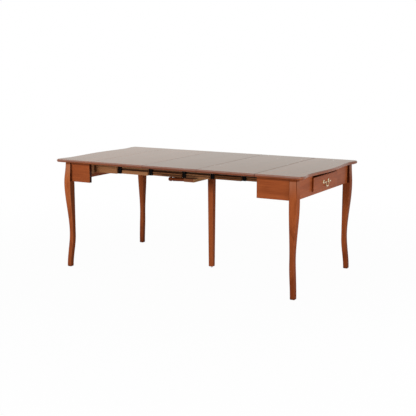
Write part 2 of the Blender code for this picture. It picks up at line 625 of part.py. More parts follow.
def bail(body):
    """The swan-necked bail: pins in the posts, a shoulder that swells out, a neck and a dropped bow."""
    pin_end = PULL_SPACING / 2 - POST_RADIUS
    pin_start = PULL_SPACING / 2 + POST_RADIUS
    half = [(pin_start, 0.0), (pin_end, 0.0)]
    shoulder = pin_end - BAIL_TURN_IN
    for i in range(1, BAIL_STEPS + 1):
        share = i / BAIL_STEPS
        swell = BAIL_WIDE * math.sin(math.pi * share)
        half.append((eased(shoulder, BAIL_NECK, share) + swell, -BAIL_SHOULDER_DROP * share))
    for i in range(1, BAIL_STEPS + 1):
        share = i / BAIL_STEPS
        angle = math.pi / 2 * share
        drop = BAIL_SHOULDER_DROP + (BAIL_DROP - BAIL_SHOULDER_DROP) * math.sin(angle)
        half.append((BAIL_NECK * math.cos(angle), -drop))
    path = half + [(-y, z) for y, z in reversed(half[:-1])]
    wire = bpy.data.curves.new("bail_wire", "CURVE")
    wire.dimensions = "3D"
    wire.bevel_depth = BAIL_WIRE_RADIUS
    wire.bevel_resolution = BAIL_RESOLUTION
    wire.use_fill_caps = True
    spline = wire.splines.new("POLY")
    spline.points.add(len(path) - 1)
    for point, (y, z) in zip(spline.points, path):
        point.co = (0.0, y, z, 1.0)
    mesh = smooth(mesh_from(made_mesh(bpy.data.objects.new("bail_wire", wire))))
    body.add("pull_bail", mesh, body.at, "brass")


def build():
    """Make every piece of the table on the body that it moves with."""
    clear_scene()
    pieces = new_collection("extendable_console_table")
    cutters = new_collection("cutters")
    centre = Body("centre", (CENTRE_LEG_X, 0.0, 0.0), pieces)
    left = Body("left_half", (-SEAM, 0.0, 0.0), pieces, centre)
    right = Body("right_half", (SEAM, 0.0, 0.0), pieces, centre)
    drawer = Body("drawer", (DRAWER_FACE, 0.0, STRIP_HEIGHT_CENTRE), pieces, right)
    pull = Body("bail", (PULL_AXIS_X, 0.0, PULL_HEIGHT), pieces, drawer)

    centre_support(centre)
    half_top(left, "left")
    half_frame(left, "left")
    left_end_apron(left)
    half_top(right, "right")
    half_frame(right, "right")
    right_end_apron(right)
    for i, name in enumerate(LEAF_NAMES):
        low_x = SEAM_GAP - SEAM + i * LEAF_PITCH
        leaf(Body(name, (low_x, 0.0, UNDERSIDE), pieces, centre), name, low_x)

    fixed = {"a": left, "d": centre, "g": right}
    for side_name in SIDES:
        for index, letter in enumerate(RUNNER_LETTERS):
            carrier = fixed.get(letter)
            if carrier is None:
                at = (RUNNER_HOME, SIDES[side_name] * PACK_OUTER, RUNNER_BOTTOM)
                carrier = Body(f"{side_name}_slide_{letter}", at, pieces, centre)
            runner(carrier, side_name, index)

    drawer_strips(right)
    drawer_box(drawer)
    for side_name, side in SIDES.items():
        rosette(drawer, f"pull_rosette_{side_name}", side, cutters)
    bail(pull)


build()
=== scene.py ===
# %% [markdown]
# # Extendable console table
# Pushed together, this table is a console about a metre wide.  Here it is drawn out: two half tops on
# bowed legs stand apart, three loose leaves lie between them, and two packs of wooden runners and a
# fifth leg carry the middle.  The solids come packed as a frame, in metres.  The lesson goes through
# the table piece by piece and gives each one its fine shape and its finish.

# %% Load the frame
import json
import math
from types import SimpleNamespace

import bmesh
import bpy
from mathutils import Matrix, Vector


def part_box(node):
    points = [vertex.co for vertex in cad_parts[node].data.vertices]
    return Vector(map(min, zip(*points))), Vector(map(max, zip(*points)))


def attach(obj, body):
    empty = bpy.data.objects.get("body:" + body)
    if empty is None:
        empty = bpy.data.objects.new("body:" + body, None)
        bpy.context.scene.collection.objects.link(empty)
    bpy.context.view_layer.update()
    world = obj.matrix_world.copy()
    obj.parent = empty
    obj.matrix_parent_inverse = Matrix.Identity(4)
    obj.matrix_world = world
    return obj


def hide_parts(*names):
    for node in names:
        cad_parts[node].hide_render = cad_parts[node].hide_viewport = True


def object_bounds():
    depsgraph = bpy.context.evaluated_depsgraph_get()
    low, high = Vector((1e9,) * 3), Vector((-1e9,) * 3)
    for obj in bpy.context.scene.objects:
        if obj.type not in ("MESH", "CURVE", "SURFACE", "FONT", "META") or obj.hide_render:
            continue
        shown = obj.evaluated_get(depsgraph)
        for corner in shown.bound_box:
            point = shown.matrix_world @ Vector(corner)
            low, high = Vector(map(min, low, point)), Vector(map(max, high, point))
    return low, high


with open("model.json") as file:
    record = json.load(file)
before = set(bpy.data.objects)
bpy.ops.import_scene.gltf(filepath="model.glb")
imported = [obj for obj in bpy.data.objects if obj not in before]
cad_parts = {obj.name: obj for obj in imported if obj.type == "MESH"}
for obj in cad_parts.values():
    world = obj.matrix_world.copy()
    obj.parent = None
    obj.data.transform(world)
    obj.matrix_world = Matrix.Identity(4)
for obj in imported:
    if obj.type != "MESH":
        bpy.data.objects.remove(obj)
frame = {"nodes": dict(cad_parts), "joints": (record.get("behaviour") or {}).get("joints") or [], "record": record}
SOLIDS_LOW, SOLIDS_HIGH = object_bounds()
RECORD = frame["record"]
BODY_OF = {node: body for body, nodes in RECORD["behaviour"]["bodies"].items() for node in nodes}
print("frame:", len(frame["nodes"]), "nodes,", [round(v, 4) for v in SOLIDS_HIGH - SOLIDS_LOW], "m")

# %% [markdown]
# ## Shader maths in Python
# A real finish is never one colour: it is so much fibre, so much cloud, and less stain where hands rub.
# Such sums could be wired up node by node, but they are easier to read as Python.  The class below
# wraps one output socket, so that `1 - mask` or `rings * 0.4 + fibre` adds the Math nodes by itself.
# Every other node comes from its one method, which takes the node's type, its settings, and the values
# or links of its sockets.

# %% A socket that does sums
class Value:
    """One output socket of a node tree, with operators that add Math nodes."""

    def __init__(self, socket):
        self.socket = socket

    @staticmethod
    def node(tree, kind, settings=None, sockets=None, output=0):
        """Add a node: first its settings, then the values or links of its sockets."""
        made = tree.nodes.new(kind)
        for name, setting in (settings or {}).items():
            if name == "stops":
                Value.set_stops(made.color_ramp, setting)
            else:
                setattr(made, name, setting)
        for key, value in (sockets or {}).items():
            if isinstance(value, Value):
                tree.links.new(value.socket, made.inputs[key])
            else:
                made.inputs[key].default_value = value
        return Value(made.outputs[output]) if made.outputs else None

    @staticmethod
    def set_stops(ramp, stops):
        """Give a colour ramp its (position, colour) stops."""
        while len(ramp.elements) < len(stops):
            ramp.elements.new(1.0)
        for element, (position, colour) in zip(ramp.elements, stops):
            element.position = position
            element.color = (*colour, 1.0)

    def sums(self, operation, *terms):
        """A Math node on the terms given, in this value's own tree."""
        tree = self.socket.id_data
        return Value.node(tree, "ShaderNodeMath", {"operation": operation}, dict(enumerate(terms)))

    def math(self, operation, *others):
        """A Math node on this value and perhaps others."""
        return self.sums(operation, self, *others)

    def __add__(self, other):
        return self.math("ADD", other)

    __radd__ = __add__

    def __sub__(self, other):
        return self.math("SUBTRACT", other)

    def __rsub__(self, other):
        return self.sums("SUBTRACT", other, self)

    def __mul__(self, other):
        return self.math("MULTIPLY", other)

    __rmul__ = __mul__

    def __truediv__(self, other):
        return self.math("DIVIDE", other)

    def __rtruediv__(self, other):
        return self.sums("DIVIDE", other, self)


print("reflected forms:", [name for name in vars(Value) if name.startswith("__r")])

# %% Colours, bumps and materials
# A Mix node has sockets of the same names for numbers and for colours, so these are numbered.
MIX_SHARE, MIX_UNDER, MIX_OVER = 0, 6, 7
MIX_COLOUR = 2


def blended(tree, under, over, share):
    """One colour laid over another by a share, through a Mix node's sockets for colours."""
    sockets = {MIX_SHARE: share, MIX_UNDER: under, MIX_OVER: over}
    return Value.node(tree, "ShaderNodeMix", {"data_type": "RGBA"}, sockets, output=MIX_COLOUR)


def bumped(tree, height, strength, depth):
    """The normal of a surface that a height from 0 to 1 raises by a depth in metres."""
    sockets = {"Height": height, "Strength": strength, "Distance": depth}
    return Value.node(tree, "ShaderNodeBump", {}, sockets)


def above(value, least, gain):
    """What a value has above a least one, times a gain, and 0 below it."""
    return (value - least).math("MAXIMUM", 0.0) * gain


def principled(tree, sockets):
    """The shader that all finishes of the table end in."""
    return Value.node(tree, "ShaderNodeBsdfPrincipled", {}, sockets)


def shaded(name, build):
    """A new material whose surface is the shader that build() makes in its empty tree."""
    mat = bpy.data.materials.new(name)
    mat.use_nodes = True
    tree = mat.node_tree
    tree.nodes.clear()
    Value.node(tree, "ShaderNodeOutputMaterial", {}, {"Surface": build(tree)})
    print("material:", name, "with", len(tree.nodes), "nodes")
    return mat


# %% [markdown]
# ## How the wood is drawn
# A board could be given a flat picture of wood, but a picture can't turn a corner.  So the figure is
# solid: each board has a heart line along its fibres, and the growth rings are cylinders round it.  A
# long face then shows streaks and arches, and a sawn end shows the rings themselves.  Noise that is
# stretched along the fibres bends the rings and adds the fine fibre.  A wide top is glued up from
# strips, so there the rings start again strip by strip.  The values `heart`, where the board's heart
# line is, and `tone`, how light the board is, ride on each mesh.

# %% Places and directions in a board
FIBRES_ALONG = {
    "x": (0.0, 0.0, 0.0),
    "y": (0.0, 0.0, -math.pi / 2),
    "z": (0.0, math.pi / 2, 0.0),
}
SAWN_FROM = 0.6


def rode_along(tree, name, output="Fac"):
    """A value that a mesh carries."""
    return Value.node(tree, "ShaderNodeAttribute", {"attribute_name": name}, output=output)


def part_of(tree, vector, axis):
    """The X, Y or Z part of a vector."""
    return Value.node(tree, "ShaderNodeSeparateXYZ", {}, {0: vector}, output=axis)


def along_fibres(tree, vector, along):
    """A vector turned so that its X runs along the fibres."""
    sockets = {"Vector": vector, "Rotation": FIBRES_ALONG[along]}
    return Value.node(tree, "ShaderNodeMapping", {}, sockets)


def facing(tree):
    """The way a face looks."""
    return Value.node(tree, "ShaderNodeTexCoord", output="Normal")


def sawn_end(tree, along):
    """1 where a face looks along the fibres, as a sawn end does, and 0 on the long faces."""
    lengthwise = part_of(tree, along_fibres(tree, facing(tree), along), "X")
    return above(lengthwise * lengthwise, SAWN_FROM, 1 / (1 - SAWN_FROM))


def scattered(tree, place, stretch, detail):
    """Noise with so many grains to the metre along and across the fibres."""
    spread = Value.node(tree, "ShaderNodeVectorMath", {"operation": "MULTIPLY"}, {0: place, 1: stretch})
    return Value.node(tree, "ShaderNodeTexNoise", {}, {"Vector": spread, "Scale": 1.0, "Detail": detail})


print("fibres run along", ", ".join(FIBRES_ALONG))

# %% Rings and fibres
# Greys that are read as plain numbers: a ring darkens slowly outwards and ends at once.
LATE_WOOD = [
    (0.0, (0.0, 0.0, 0.0)),
    (0.55, (0.25, 0.25, 0.25)),
    (0.86, (1.0, 1.0, 1.0)),
    (1.0, (0.05, 0.05, 0.05)),
]
# Grains of noise to the metre, along the fibres and twice across them.
BEND_GRAINS = (1.1, 6.0, 6.0)
FIBRE_GRAINS = (9.0, 430.0, 430.0)
PORE_GRAINS = (55.0, 2100.0, 2100.0)
CLOUD_GRAINS = (2.2, 11.0, 11.0)
BEND_IN_DEPTH = 0.6
HEART_SHIFT = 0.5
FIRST_STRIP = 7.3


def wood_figure(tree, along, strip, ring_gap, heart_depth, wander):
    """A board's late wood, fibre, pores, slow clouds and strip-by-strip luck, each from 0 to 1."""
    where = Value.node(tree, "ShaderNodeTexCoord", output="Object")
    heart = rode_along(tree, "heart", "Vector")
    offset = Value.node(tree, "ShaderNodeVectorMath", {"operation": "SUBTRACT"}, {0: where, 1: heart})
    place = along_fibres(tree, where, along)
    local = along_fibres(tree, offset, along)
    across = part_of(tree, local, "Y")
    number = (across / strip + 0.5).math("FLOOR")
    strip_number = {"W": number + FIRST_STRIP}
    luck = Value.node(tree, "ShaderNodeTexWhiteNoise", {"noise_dimensions": "1D"}, strip_number)
    bend = (scattered(tree, place, BEND_GRAINS, detail=2.0) - 0.5) * wander
    side = across - number * strip + bend + (luck - 0.5) * (strip * HEART_SHIFT)
    down = part_of(tree, local, "Z") + bend * BEND_IN_DEPTH + heart_depth
    radius = (side * side + down * down).math("SQRT")
    ring = (radius / ring_gap).math("FRACT")
    return SimpleNamespace(
        late=Value.node(tree, "ShaderNodeValToRGB", {"stops": LATE_WOOD}, {"Fac": ring}),
        fibre=scattered(tree, place, FIBRE_GRAINS, detail=3.0),
        pores=scattered(tree, place, PORE_GRAINS, detail=1.0),
        cloud=scattered(tree, place, CLOUD_GRAINS, detail=2.0),
        luck=luck,
    )


def darkness(wood, late, **others):
    """How dark the figure makes the wood: late rings darken it, and the rest goes either way."""
    dark = wood.late * late
    for name, share in others.items():
        dark = dark + (getattr(wood, name) - 0.5) * share
    return dark


print("fibres to the metre, along and across:", FIBRE_GRAINS[:2])

# %% [markdown]
# ## Red-brown lacquer
# The top, legs and aprons are a close-grained wood under a red-brown stain and a satin lacquer.  Seen
# square on it is a warm orange brown.  Seen low along the top it turns grey, because the lacquer then
# mirrors the pale room, and a Principled shader does that by itself.  The marks of use could be painted
# by hand, but here the meshes say where they are.  Worn faces lose their stain, round the top's rim to a
# grey that is a painted reflection of the pale room, and on the legs to paler patches.  Hollow faces
# hold grime and painted shade.  The flat top is also bleached a little and has a faint bloom.

# %% Lacquered wood
LACQUER_COLOURS = [
    (0.0, (0.430, 0.128, 0.043)),
    (0.45, (0.300, 0.073, 0.021)),
    (1.0, (0.150, 0.030, 0.008)),
]
PORE_FILLER = (0.060, 0.012, 0.004, 1.0)
# Grime, and the painted shade in corners and under the top, are blended in with this colour.
LACQUER_GRIME_AND_SHADE = (0.036, 0.006, 0.002, 1.0)
BLEACHED = (0.330, 0.108, 0.036, 1.0)
LACQUER_RINGS = {"ring_gap": 0.0115, "heart_depth": 0.034, "wander": 0.030}
LACQUER_SAWN = 0.30
PORES_FROM, PORES_GAIN, PORES_MOST = 0.60, 2.2, 0.6
RUB_PATCHES = 0.55
ROUGH_LEAST, ROUGH_FIBRE, ROUGH_CLOUD, ROUGH_WEAR = 0.65, 0.4, 0.3, 0.2
FIBRE_RISE = 0.6
EDGE_COAT_ROUGH = 0.25
BLOOM_ROUGH = 0.35
BLOOM_TINT = (0.80, 1.0, 0.50, 1.0)
MESH_VALUES = ("tone", "worn", "hollow")
LEVEL_FROM = 0.5


def facing_up(tree):
    """1 on a flat top, falling to 0 round its rim."""
    return above(part_of(tree, facing(tree), "Z"), LEVEL_FROM, 1 / (1 - LEVEL_FROM))


def lacquer(name, along, strip, ior, rough, depth, faded, edge_coat, bloom, bare_and_sheen, even_sheen):
    """Stained and lacquered wood whose fibres run along x, y or z.

    depth is how dark the stain is, and faded how much a flat top has lost of it.  Worn faces show a
    paler colour in patches, and one more share lays it all over them; round the top's rim that colour is
    a painted grey reflection of the pale room, elsewhere bare wood.  edge_coat is the polish left on them.
    """

    def build(tree):
        wood = wood_figure(tree, along, strip, **LACQUER_RINGS)
        tone, worn, hollow = (rode_along(tree, value) for value in MESH_VALUES)
        figure = darkness(wood, late=0.22, fibre=0.75, cloud=0.55, luck=0.10)
        dark = figure + sawn_end(tree, along) * LACQUER_SAWN - tone + depth
        stain = Value.node(tree, "ShaderNodeValToRGB", {"stops": LACQUER_COLOURS}, {"Fac": dark})
        open_pores = above(wood.pores, PORES_FROM, PORES_GAIN)
        filled = blended(tree, stain, PORE_FILLER, open_pores.math("MINIMUM", PORES_MOST))
        upwards = facing_up(tree)
        # Round the top's rim the paler colour is a painted grey reflection of the pale room.
        paled = worn * (wood.cloud * RUB_PATCHES + even_sheen) * (1 - upwards)
        edged = blended(tree, filled, bare_and_sheen, paled)
        bleached = blended(tree, edged, BLEACHED, upwards * faded)
        uneven = wood.fibre * ROUGH_FIBRE + wood.cloud * ROUGH_CLOUD + worn * ROUGH_WEAR
        return principled(tree, {
            # Faces marked hollow get grime and painted shade.
            "Base Color": blended(tree, bleached, LACQUER_GRIME_AND_SHADE, hollow),
            "Roughness": (uneven + ROUGH_LEAST) * rough,
            "IOR": ior,
            "Normal": bumped(tree, wood.fibre * FIBRE_RISE - open_pores, strength=0.12, depth=0.0002),
            "Coat Weight": worn * edge_coat,
            "Coat Roughness": EDGE_COAT_ROUGH,
            "Sheen Weight": bloom,
            "Sheen Roughness": BLOOM_ROUGH,
            "Sheen Tint": BLOOM_TINT,
        })

    return shaded(name, build)


# %% The lacquers of the top, the aprons and the legs
ONE_BOARD = 4.0
TOP_STRIP = 0.118
FRAME_IOR = 1.14
# The top's rim colour and its even share paint a grey reflection of the pale room.
TOP_FINISH = {
    "ior": 1.119, "rough": 0.11, "depth": 0.62, "faded": 0.30, "edge_coat": 1.3, "bloom": 0.06,
    "bare_and_sheen": (0.265, 0.155, 0.118, 1.0), "even_sheen": 0.50,
}
APRON_FINISH = {
    "ior": FRAME_IOR, "rough": 0.32, "depth": 0.36, "faded": 0.0, "edge_coat": 0.05, "bloom": 0.0,
    "bare_and_sheen": (0.420, 0.150, 0.052, 1.0), "even_sheen": 0.0,
}
LEG_FINISH = {**APRON_FINISH, "ior": 1.07, "bare_and_sheen": (0.360, 0.215, 0.150, 1.0)}
LACQUER_TOP = lacquer("lacquer_top", "y", TOP_STRIP, **TOP_FINISH)
LACQUER = {axis: lacquer("lacquer_" + axis, axis, ONE_BOARD, **APRON_FINISH) for axis in "xy"}
LACQUER["z"] = lacquer("lacquer_z", "z", ONE_BOARD, **LEG_FINISH)
print("lacquers:", LACQUER_TOP.name, [finish.name for finish in LACQUER.values()])

# %% [markdown]
# ## Plain runner, bar and drawer wood
# The runners, cleats and bar are left without stain: a pale brown hardwood, planed, with short dark
# flecks.  The bar is cut from lighter stock, and stain has run into its sawn ends.  The drawer box is
# paler still.  Each could have a material of its own, but they differ only in colours and in how much
# their ends have drunk, so one function makes them all from the same figure.

# %% Unstained wood
RUNNER_COLOURS = [
    (0.0, (0.350, 0.170, 0.082)),
    (0.5, (0.258, 0.110, 0.046)),
    (1.0, (0.150, 0.055, 0.021)),
]
BAR_COLOURS = [
    (0.0, (0.470, 0.238, 0.100)),
    (0.5, (0.360, 0.168, 0.066)),
    (1.0, (0.200, 0.078, 0.028)),
]
DRAWER_COLOURS = [
    (0.0, (0.640, 0.440, 0.255)),
    (0.5, (0.520, 0.335, 0.180)),
    (1.0, (0.350, 0.200, 0.100)),
]
FLECK_COLOUR = (0.150, 0.066, 0.028, 1.0)
END_STAIN = (0.165, 0.056, 0.024, 1.0)
# Painted shade in grooves, over the bar and on the bar's top band.
RUNNER_PAINTED_SHADE = (0.018, 0.006, 0.003, 1.0)
PLANED_RINGS = {"ring_gap": 0.0065, "heart_depth": 0.020, "wander": 0.014}
PLANED_DEPTH = 0.38
FLECKS_FROM, FLECKS_GAIN, FLECKS_MOST = 0.58, 3.0, 0.7
EDGE_RUB = 0.6
PLANED_ROUGH, PLANED_FIBRE_ROUGH = 0.50, 0.14


def planed(name, along, colours, end_stain):
    """Unstained planed wood with small flecks, whose sawn ends have drunk some stain."""
    lightest = (*colours[0][1], 1.0)

    def build(tree):
        wood = wood_figure(tree, along, ONE_BOARD, **PLANED_RINGS)
        tone, worn, hollow = (rode_along(tree, value) for value in MESH_VALUES)
        dark = darkness(wood, late=0.25, fibre=0.70, cloud=0.45) - tone + PLANED_DEPTH
        plain = Value.node(tree, "ShaderNodeValToRGB", {"stops": colours}, {"Fac": dark})
        flecks = above(wood.pores, FLECKS_FROM, FLECKS_GAIN)
        flecked = blended(tree, plain, FLECK_COLOUR, flecks.math("MINIMUM", FLECKS_MOST))
        paled = blended(tree, flecked, lightest, worn * wood.cloud * EDGE_RUB)
        ended = blended(tree, paled, END_STAIN, sawn_end(tree, along) * end_stain)
        return principled(tree, {
            # Faces marked hollow get painted shade.
            "Base Color": blended(tree, ended, RUNNER_PAINTED_SHADE, hollow),
            "Roughness": wood.fibre * PLANED_FIBRE_ROUGH + PLANED_ROUGH,
            "IOR": FRAME_IOR,
            "Normal": bumped(tree, wood.fibre - flecks, strength=0.25, depth=0.0002),
        })

    return shaded(name, build)


RUNNER_WOOD = planed("runner_wood", "x", RUNNER_COLOURS, end_stain=0.15)
BAR_WOOD = planed("bar_wood", "y", BAR_COLOURS, end_stain=1.0)
DRAWER_WOOD = {axis: planed("drawer_wood_" + axis, axis, DRAWER_COLOURS, end_stain=0.3) for axis in "xy"}
print("plain woods:", RUNNER_WOOD.name, BAR_WOOD.name, [wood.name for wood in DRAWER_WOOD.values()])

# %% [markdown]
# ## Black keepers, brass and zinc
# The keepers on the runners' ends are moulded black plastic with a fine grain.  The pull is polished
# brass that is a little dull in its hollows.  The plate over the fifth leg, its screws and the glide are
# zinc plated, with the cloudy crystals that plating leaves.  A flat colour would look like paint, so
# noise makes the grain, and slow clouds dull the two metals, which one function makes.

# %% Plastic and metals
KEEPER_BLACK = (0.0020, 0.0016, 0.0016, 1.0)
KEEPER_SMEAR = (0.010, 0.009, 0.009, 1.0)
KEEPER_GRAINS = (1500.0, 1500.0, 1500.0)
SMEAR_GRAINS = (60.0, 60.0, 60.0)
SMEAR_GREY, WORN_GREY = 0.4, 0.3
KEEPER_ROUGH, SMEAR_ROUGH = 0.45, 0.15
CLOUD_DULL, HOLLOW_DULL = 0.55, 0.6
DULL_ROUGH = 0.22
SCRATCHES_TO_CLOUDS = 30


def keeper_plastic(tree):
    """Matt black plastic with a moulded grain, smeared by hands."""
    place = Value.node(tree, "ShaderNodeTexCoord", output="Object")
    grain = scattered(tree, place, KEEPER_GRAINS, detail=2.0)
    smear = scattered(tree, place, SMEAR_GRAINS, detail=2.0)
    greyed = smear * SMEAR_GREY + rode_along(tree, "worn") * WORN_GREY
    return principled(tree, {
        "Base Color": blended(tree, KEEPER_BLACK, KEEPER_SMEAR, greyed),
        "Roughness": smear * SMEAR_ROUGH + KEEPER_ROUGH,
        "IOR": FRAME_IOR,
        "Normal": bumped(tree, grain, strength=0.3, depth=0.0001),
    })


def metal(light, dull, clouds, rough):
    """A metal that is dull in so many clouds to the metre, and in its hollows."""

    def build(tree):
        place = Value.node(tree, "ShaderNodeTexCoord", output="Object")
        cloud = scattered(tree, place, (clouds,) * 3, detail=3.0)
        scratches = scattered(tree, place, (clouds * SCRATCHES_TO_CLOUDS,) * 3, detail=1.0)
        dulled = cloud * CLOUD_DULL + rode_along(tree, "hollow") * HOLLOW_DULL
        tarnish = dulled.math("MINIMUM", 1.0)
        return principled(tree, {
            "Base Color": blended(tree, (*light, 1.0), (*dull, 1.0), tarnish),
            "Metallic": 1.0,
            "Roughness": tarnish * DULL_ROUGH + rough,
            "Normal": bumped(tree, scratches, strength=0.08, depth=0.0001),
        })

    return build


KEEPER_PLASTIC = shaded("keeper_plastic", keeper_plastic)
BRASS = shaded("pull_brass", metal((1.00, 0.96, 0.76), (0.60, 0.42, 0.20), clouds=90.0, rough=0.16))
ZINC = shaded("plate_zinc", metal((0.62, 0.62, 0.63), (0.36, 0.36, 0.37), clouds=120.0, rough=0.28))

# %% [markdown]
# ## Turning a shape into a piece
# Nearly every piece takes the place of a CAD node: it rides on the same body and hides the node.  Its
# mesh stays where it was modelled, so the object sits at the origin.  The CAD solids could be shown as
# they are, but no real edge is that sharp, so shapes start as blocks or as merged copies and get rounded
# edges.  Flat faces beside rounded edges would shade like pillows, and weighted normals keep them flat.

# %% Starting shapes
SMALL = 0.00002
FLAT_ANGLE = math.radians(0.5)


def new_shape():
    """An empty shape whose faces can carry their wear and painted sheen, and how hollow they are."""
    bm = bmesh.new()
    for name in ("worn", "hollow"):
        bm.faces.layers.float.new(name)
    return bm


def between(low, high):
    """A block between two corners."""
    bm = new_shape()
    bmesh.ops.create_cube(bm, size=1.0)
    bmesh.ops.scale(bm, vec=high - low, verts=bm.verts)
    bmesh.ops.translate(bm, vec=(low + high) / 2, verts=bm.verts)
    return bm


def whole_faces(bm):
    """Join the faces that lie in one plane."""
    bmesh.ops.dissolve_limit(bm, angle_limit=FLAT_ANGLE, verts=bm.verts, edges=bm.edges)


def as_modelled(node):
    """A copy of a CAD node's shape, merged, with its flat faces whole again."""
    bm = new_shape()
    bm.from_mesh(frame["nodes"][node].data)
    bmesh.ops.remove_doubles(bm, verts=bm.verts, dist=SMALL)
    whole_faces(bm)
    return bm


print("solids to start from:", len(frame["nodes"]))

# %% Edges, marks and pieces
CREASE = 50.0


def mark(bm, name, faces, amount=1.0):
    """Give some faces a value that the finish can read."""
    layer = bm.faces.layers.float[name]
    for face in faces:
        face[layer] = amount


def corners(bm, least_degrees=30.0):
    """The edges where two faces meet at an angle."""
    least = math.radians(least_degrees)
    return [edge for edge in bm.edges if edge.is_manifold and edge.calc_face_angle() > least]


def rounded(bm, edges, radius, segments):
    """Round some edges, and give back the new faces."""
    made = bmesh.ops.bevel(bm, geom=edges, offset=radius, offset_type="OFFSET", segments=segments,
                           profile=0.5, affect="EDGES", material=-1)
    return made["faces"]


def eased(bm, edges, radius, segments=3, worn=1.0):
    """Round some edges, and mark the new faces as worn, which on the top's rim also paints a grey sheen."""
    faces = rounded(bm, edges, radius, segments)
    mark(bm, "worn", faces, worn)
    return faces


def settle(bm, name, body, finish, heart=None, tone=0.0, crease=CREASE):
    """Make a shape a piece of the table that moves with a body; tone may be a number or a function."""
    bmesh.ops.recalc_face_normals(bm, faces=bm.faces)
    mesh = bpy.data.meshes.new(name)
    bm.to_mesh(mesh)
    bm.free()
    mesh.shade_smooth()
    mesh.set_sharp_from_angle(angle=math.radians(crease))
    mesh.materials.append(finish)
    piece = bpy.data.objects.new(name, mesh)
    bpy.context.scene.collection.objects.link(piece)
    if heart is None:
        heart = sum((Vector(corner) for corner in piece.bound_box), Vector()) / len(piece.bound_box)
    carried = mesh.attributes.new("heart", "FLOAT_VECTOR", "POINT")
    carried.data.foreach_set("vector", list(heart) * len(mesh.vertices))
    carried = mesh.attributes.new("tone", "FLOAT", "POINT")
    lightness = [tone(vert.co) if callable(tone) else tone for vert in mesh.vertices]
    carried.data.foreach_set("value", lightness)
    flat = piece.modifiers.new("flat_faces", "WEIGHTED_NORMAL")
    flat.keep_sharp = True
    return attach(piece, body)


def dress(bm, node, finish, heart=None, tone=0.0, crease=CREASE):
    """Make a shape the piece that stands for a CAD node."""
    piece = settle(bm, node + "_finished", BODY_OF[node], finish, heart, tone, crease)
    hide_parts(node)
    return piece


# %% [markdown]
# ## Rim and seams of the top
# Five boards make up the top.  They share one rounded rim, polished and painted grey on its upper side
# as a reflection of the pale room, and painted lighter on its lower side.  At each seam the edges are
# taken off a little and darkened, more so towards the right.  A dark stripe in the finish could draw the
# seams, but the boards come apart when the table closes, so each one has real chamfers of its own.

# %% Rims and seams
X, Y, Z = range(3)
RIM_ROUND = 0.0092
RIM_STEPS = 6
# The rim's wear marks also paint it grey, as a reflection of the pale room.
RIM_WEAR_AND_SHEEN = 0.8
RIM_END_WEAR_AND_SHEEN = 0.35
RIM_UNDER_WEAR_AND_SHEEN = 0.40
RIM_UNDERSIDE = -0.35
# Painted light: the rim's lower side is made lighter.
RIM_UNDER_PAINTED_LIGHT = 0.20
SEAM_CHAMFERS = (0.0008, 0.0030)
SEAM_STEPS = 2
SEAM_SHADES = (0.08, 0.32)
SEAM_RIM_SHADE = 0.50


def smooth_step(low, high, share):
    """A smooth way from one value to another, as a share goes from 0 to 1."""
    share = max(0.0, min(1.0, share))
    return low + (high - low) * share * share * (3 - 2 * share)


def runs_along(edge, axis):
    """Whether an edge runs along an axis."""
    step = edge.verts[1].co - edge.verts[0].co
    return all(abs(step[i]) < SMALL for i in (X, Y, Z) if i != axis)


def seam_edges(bm, seam):
    """The edges all round the flat face at a seam."""
    return [edge for edge in bm.edges if all(abs(vert.co.x - seam) < SMALL for vert in edge.verts)]


def seam_chamfer(bm, seam):
    """Take off the edges round a seam, and darken the faces cut there."""
    share = (seam - SOLIDS_LOW.x) / (SOLIDS_HIGH.x - SOLIDS_LOW.x)
    cut = rounded(bm, seam_edges(bm, seam), smooth_step(*SEAM_CHAMFERS, share), SEAM_STEPS)
    bm.normal_update()
    for face in cut:
        on_rim = abs(face.normal.y) > abs(face.normal.z)
        mark(bm, "hollow", [face], SEAM_RIM_SHADE if on_rim else smooth_step(*SEAM_SHADES, share))


def rounded_rim(bm, edges):
    """Round the rim of a board of the top, worn and painted grey most on its upper side, less below."""
    rim = eased(bm, edges, RIM_ROUND, RIM_STEPS, RIM_WEAR_AND_SHEEN)
    bm.normal_update()
    mark(bm, "worn", [face for face in rim if abs(face.normal.x) > abs(face.normal.y)], RIM_END_WEAR_AND_SHEEN)
    mark(bm, "worn", [face for face in rim if face.normal.z < 0.0], RIM_UNDER_WEAR_AND_SHEEN)
    mark(bm, "worn", [face for face in rim if face.normal.z < RIM_UNDERSIDE], 0.0)


def dress_top(bm, node, tone):
    """Finish a board of the top, whose heart line lies under its middle."""
    low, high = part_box(node)

    def lighter_below(place):
        """Painted light: the lower side of the rim is lighter."""
        return tone + smooth_step(0.0, RIM_UNDER_PAINTED_LIGHT, (high.z - place.z) / (high.z - low.z))

    heart = Vector(((low.x + high.x) / 2, 0.0, low.z))
    return dress(bm, node, LACQUER_TOP, heart, lighter_below)


print("rim:", RIM_ROUND, "m round in", RIM_STEPS, "steps")

# %% [markdown]
# ## The two half tops
# Each half top is a board with a straight seam on one side and a drawn line on the other: a shallow bow
# in the middle, a hollow, and a rounded ear at each corner.  The line could be drawn as a curve and
# filled, but it is only a smooth step between the bow and the hollow.  So the board starts as a block,
# is cut across many times, and the points of its outer end move back by that formula.  Then the ears,
# the rim and the seam are rounded in turn.

# %% Half tops
LEFT, RIGHT = -1, 1
HALF_WIDTH = SOLIDS_HIGH.y
VALLEY_BACK = 0.022
VALLEY_FROM_EDGE = 0.150
EAR_BACK = 0.007
EAR_FROM_EDGE = 0.045
EAR_RADIUS = 0.030
EAR_STEPS = 12
BOW_CUTS = 95
SQUARE_CORNER = 60.0


def cut_across(bm, axis, at):
    """Cut all faces that cross a plane square to an axis."""
    square = Matrix.Identity(3)[axis]
    everything = bm.verts[:] + bm.edges[:] + bm.faces[:]
    bmesh.ops.bisect_plane(bm, geom=everything, plane_co=square * at, plane_no=square)


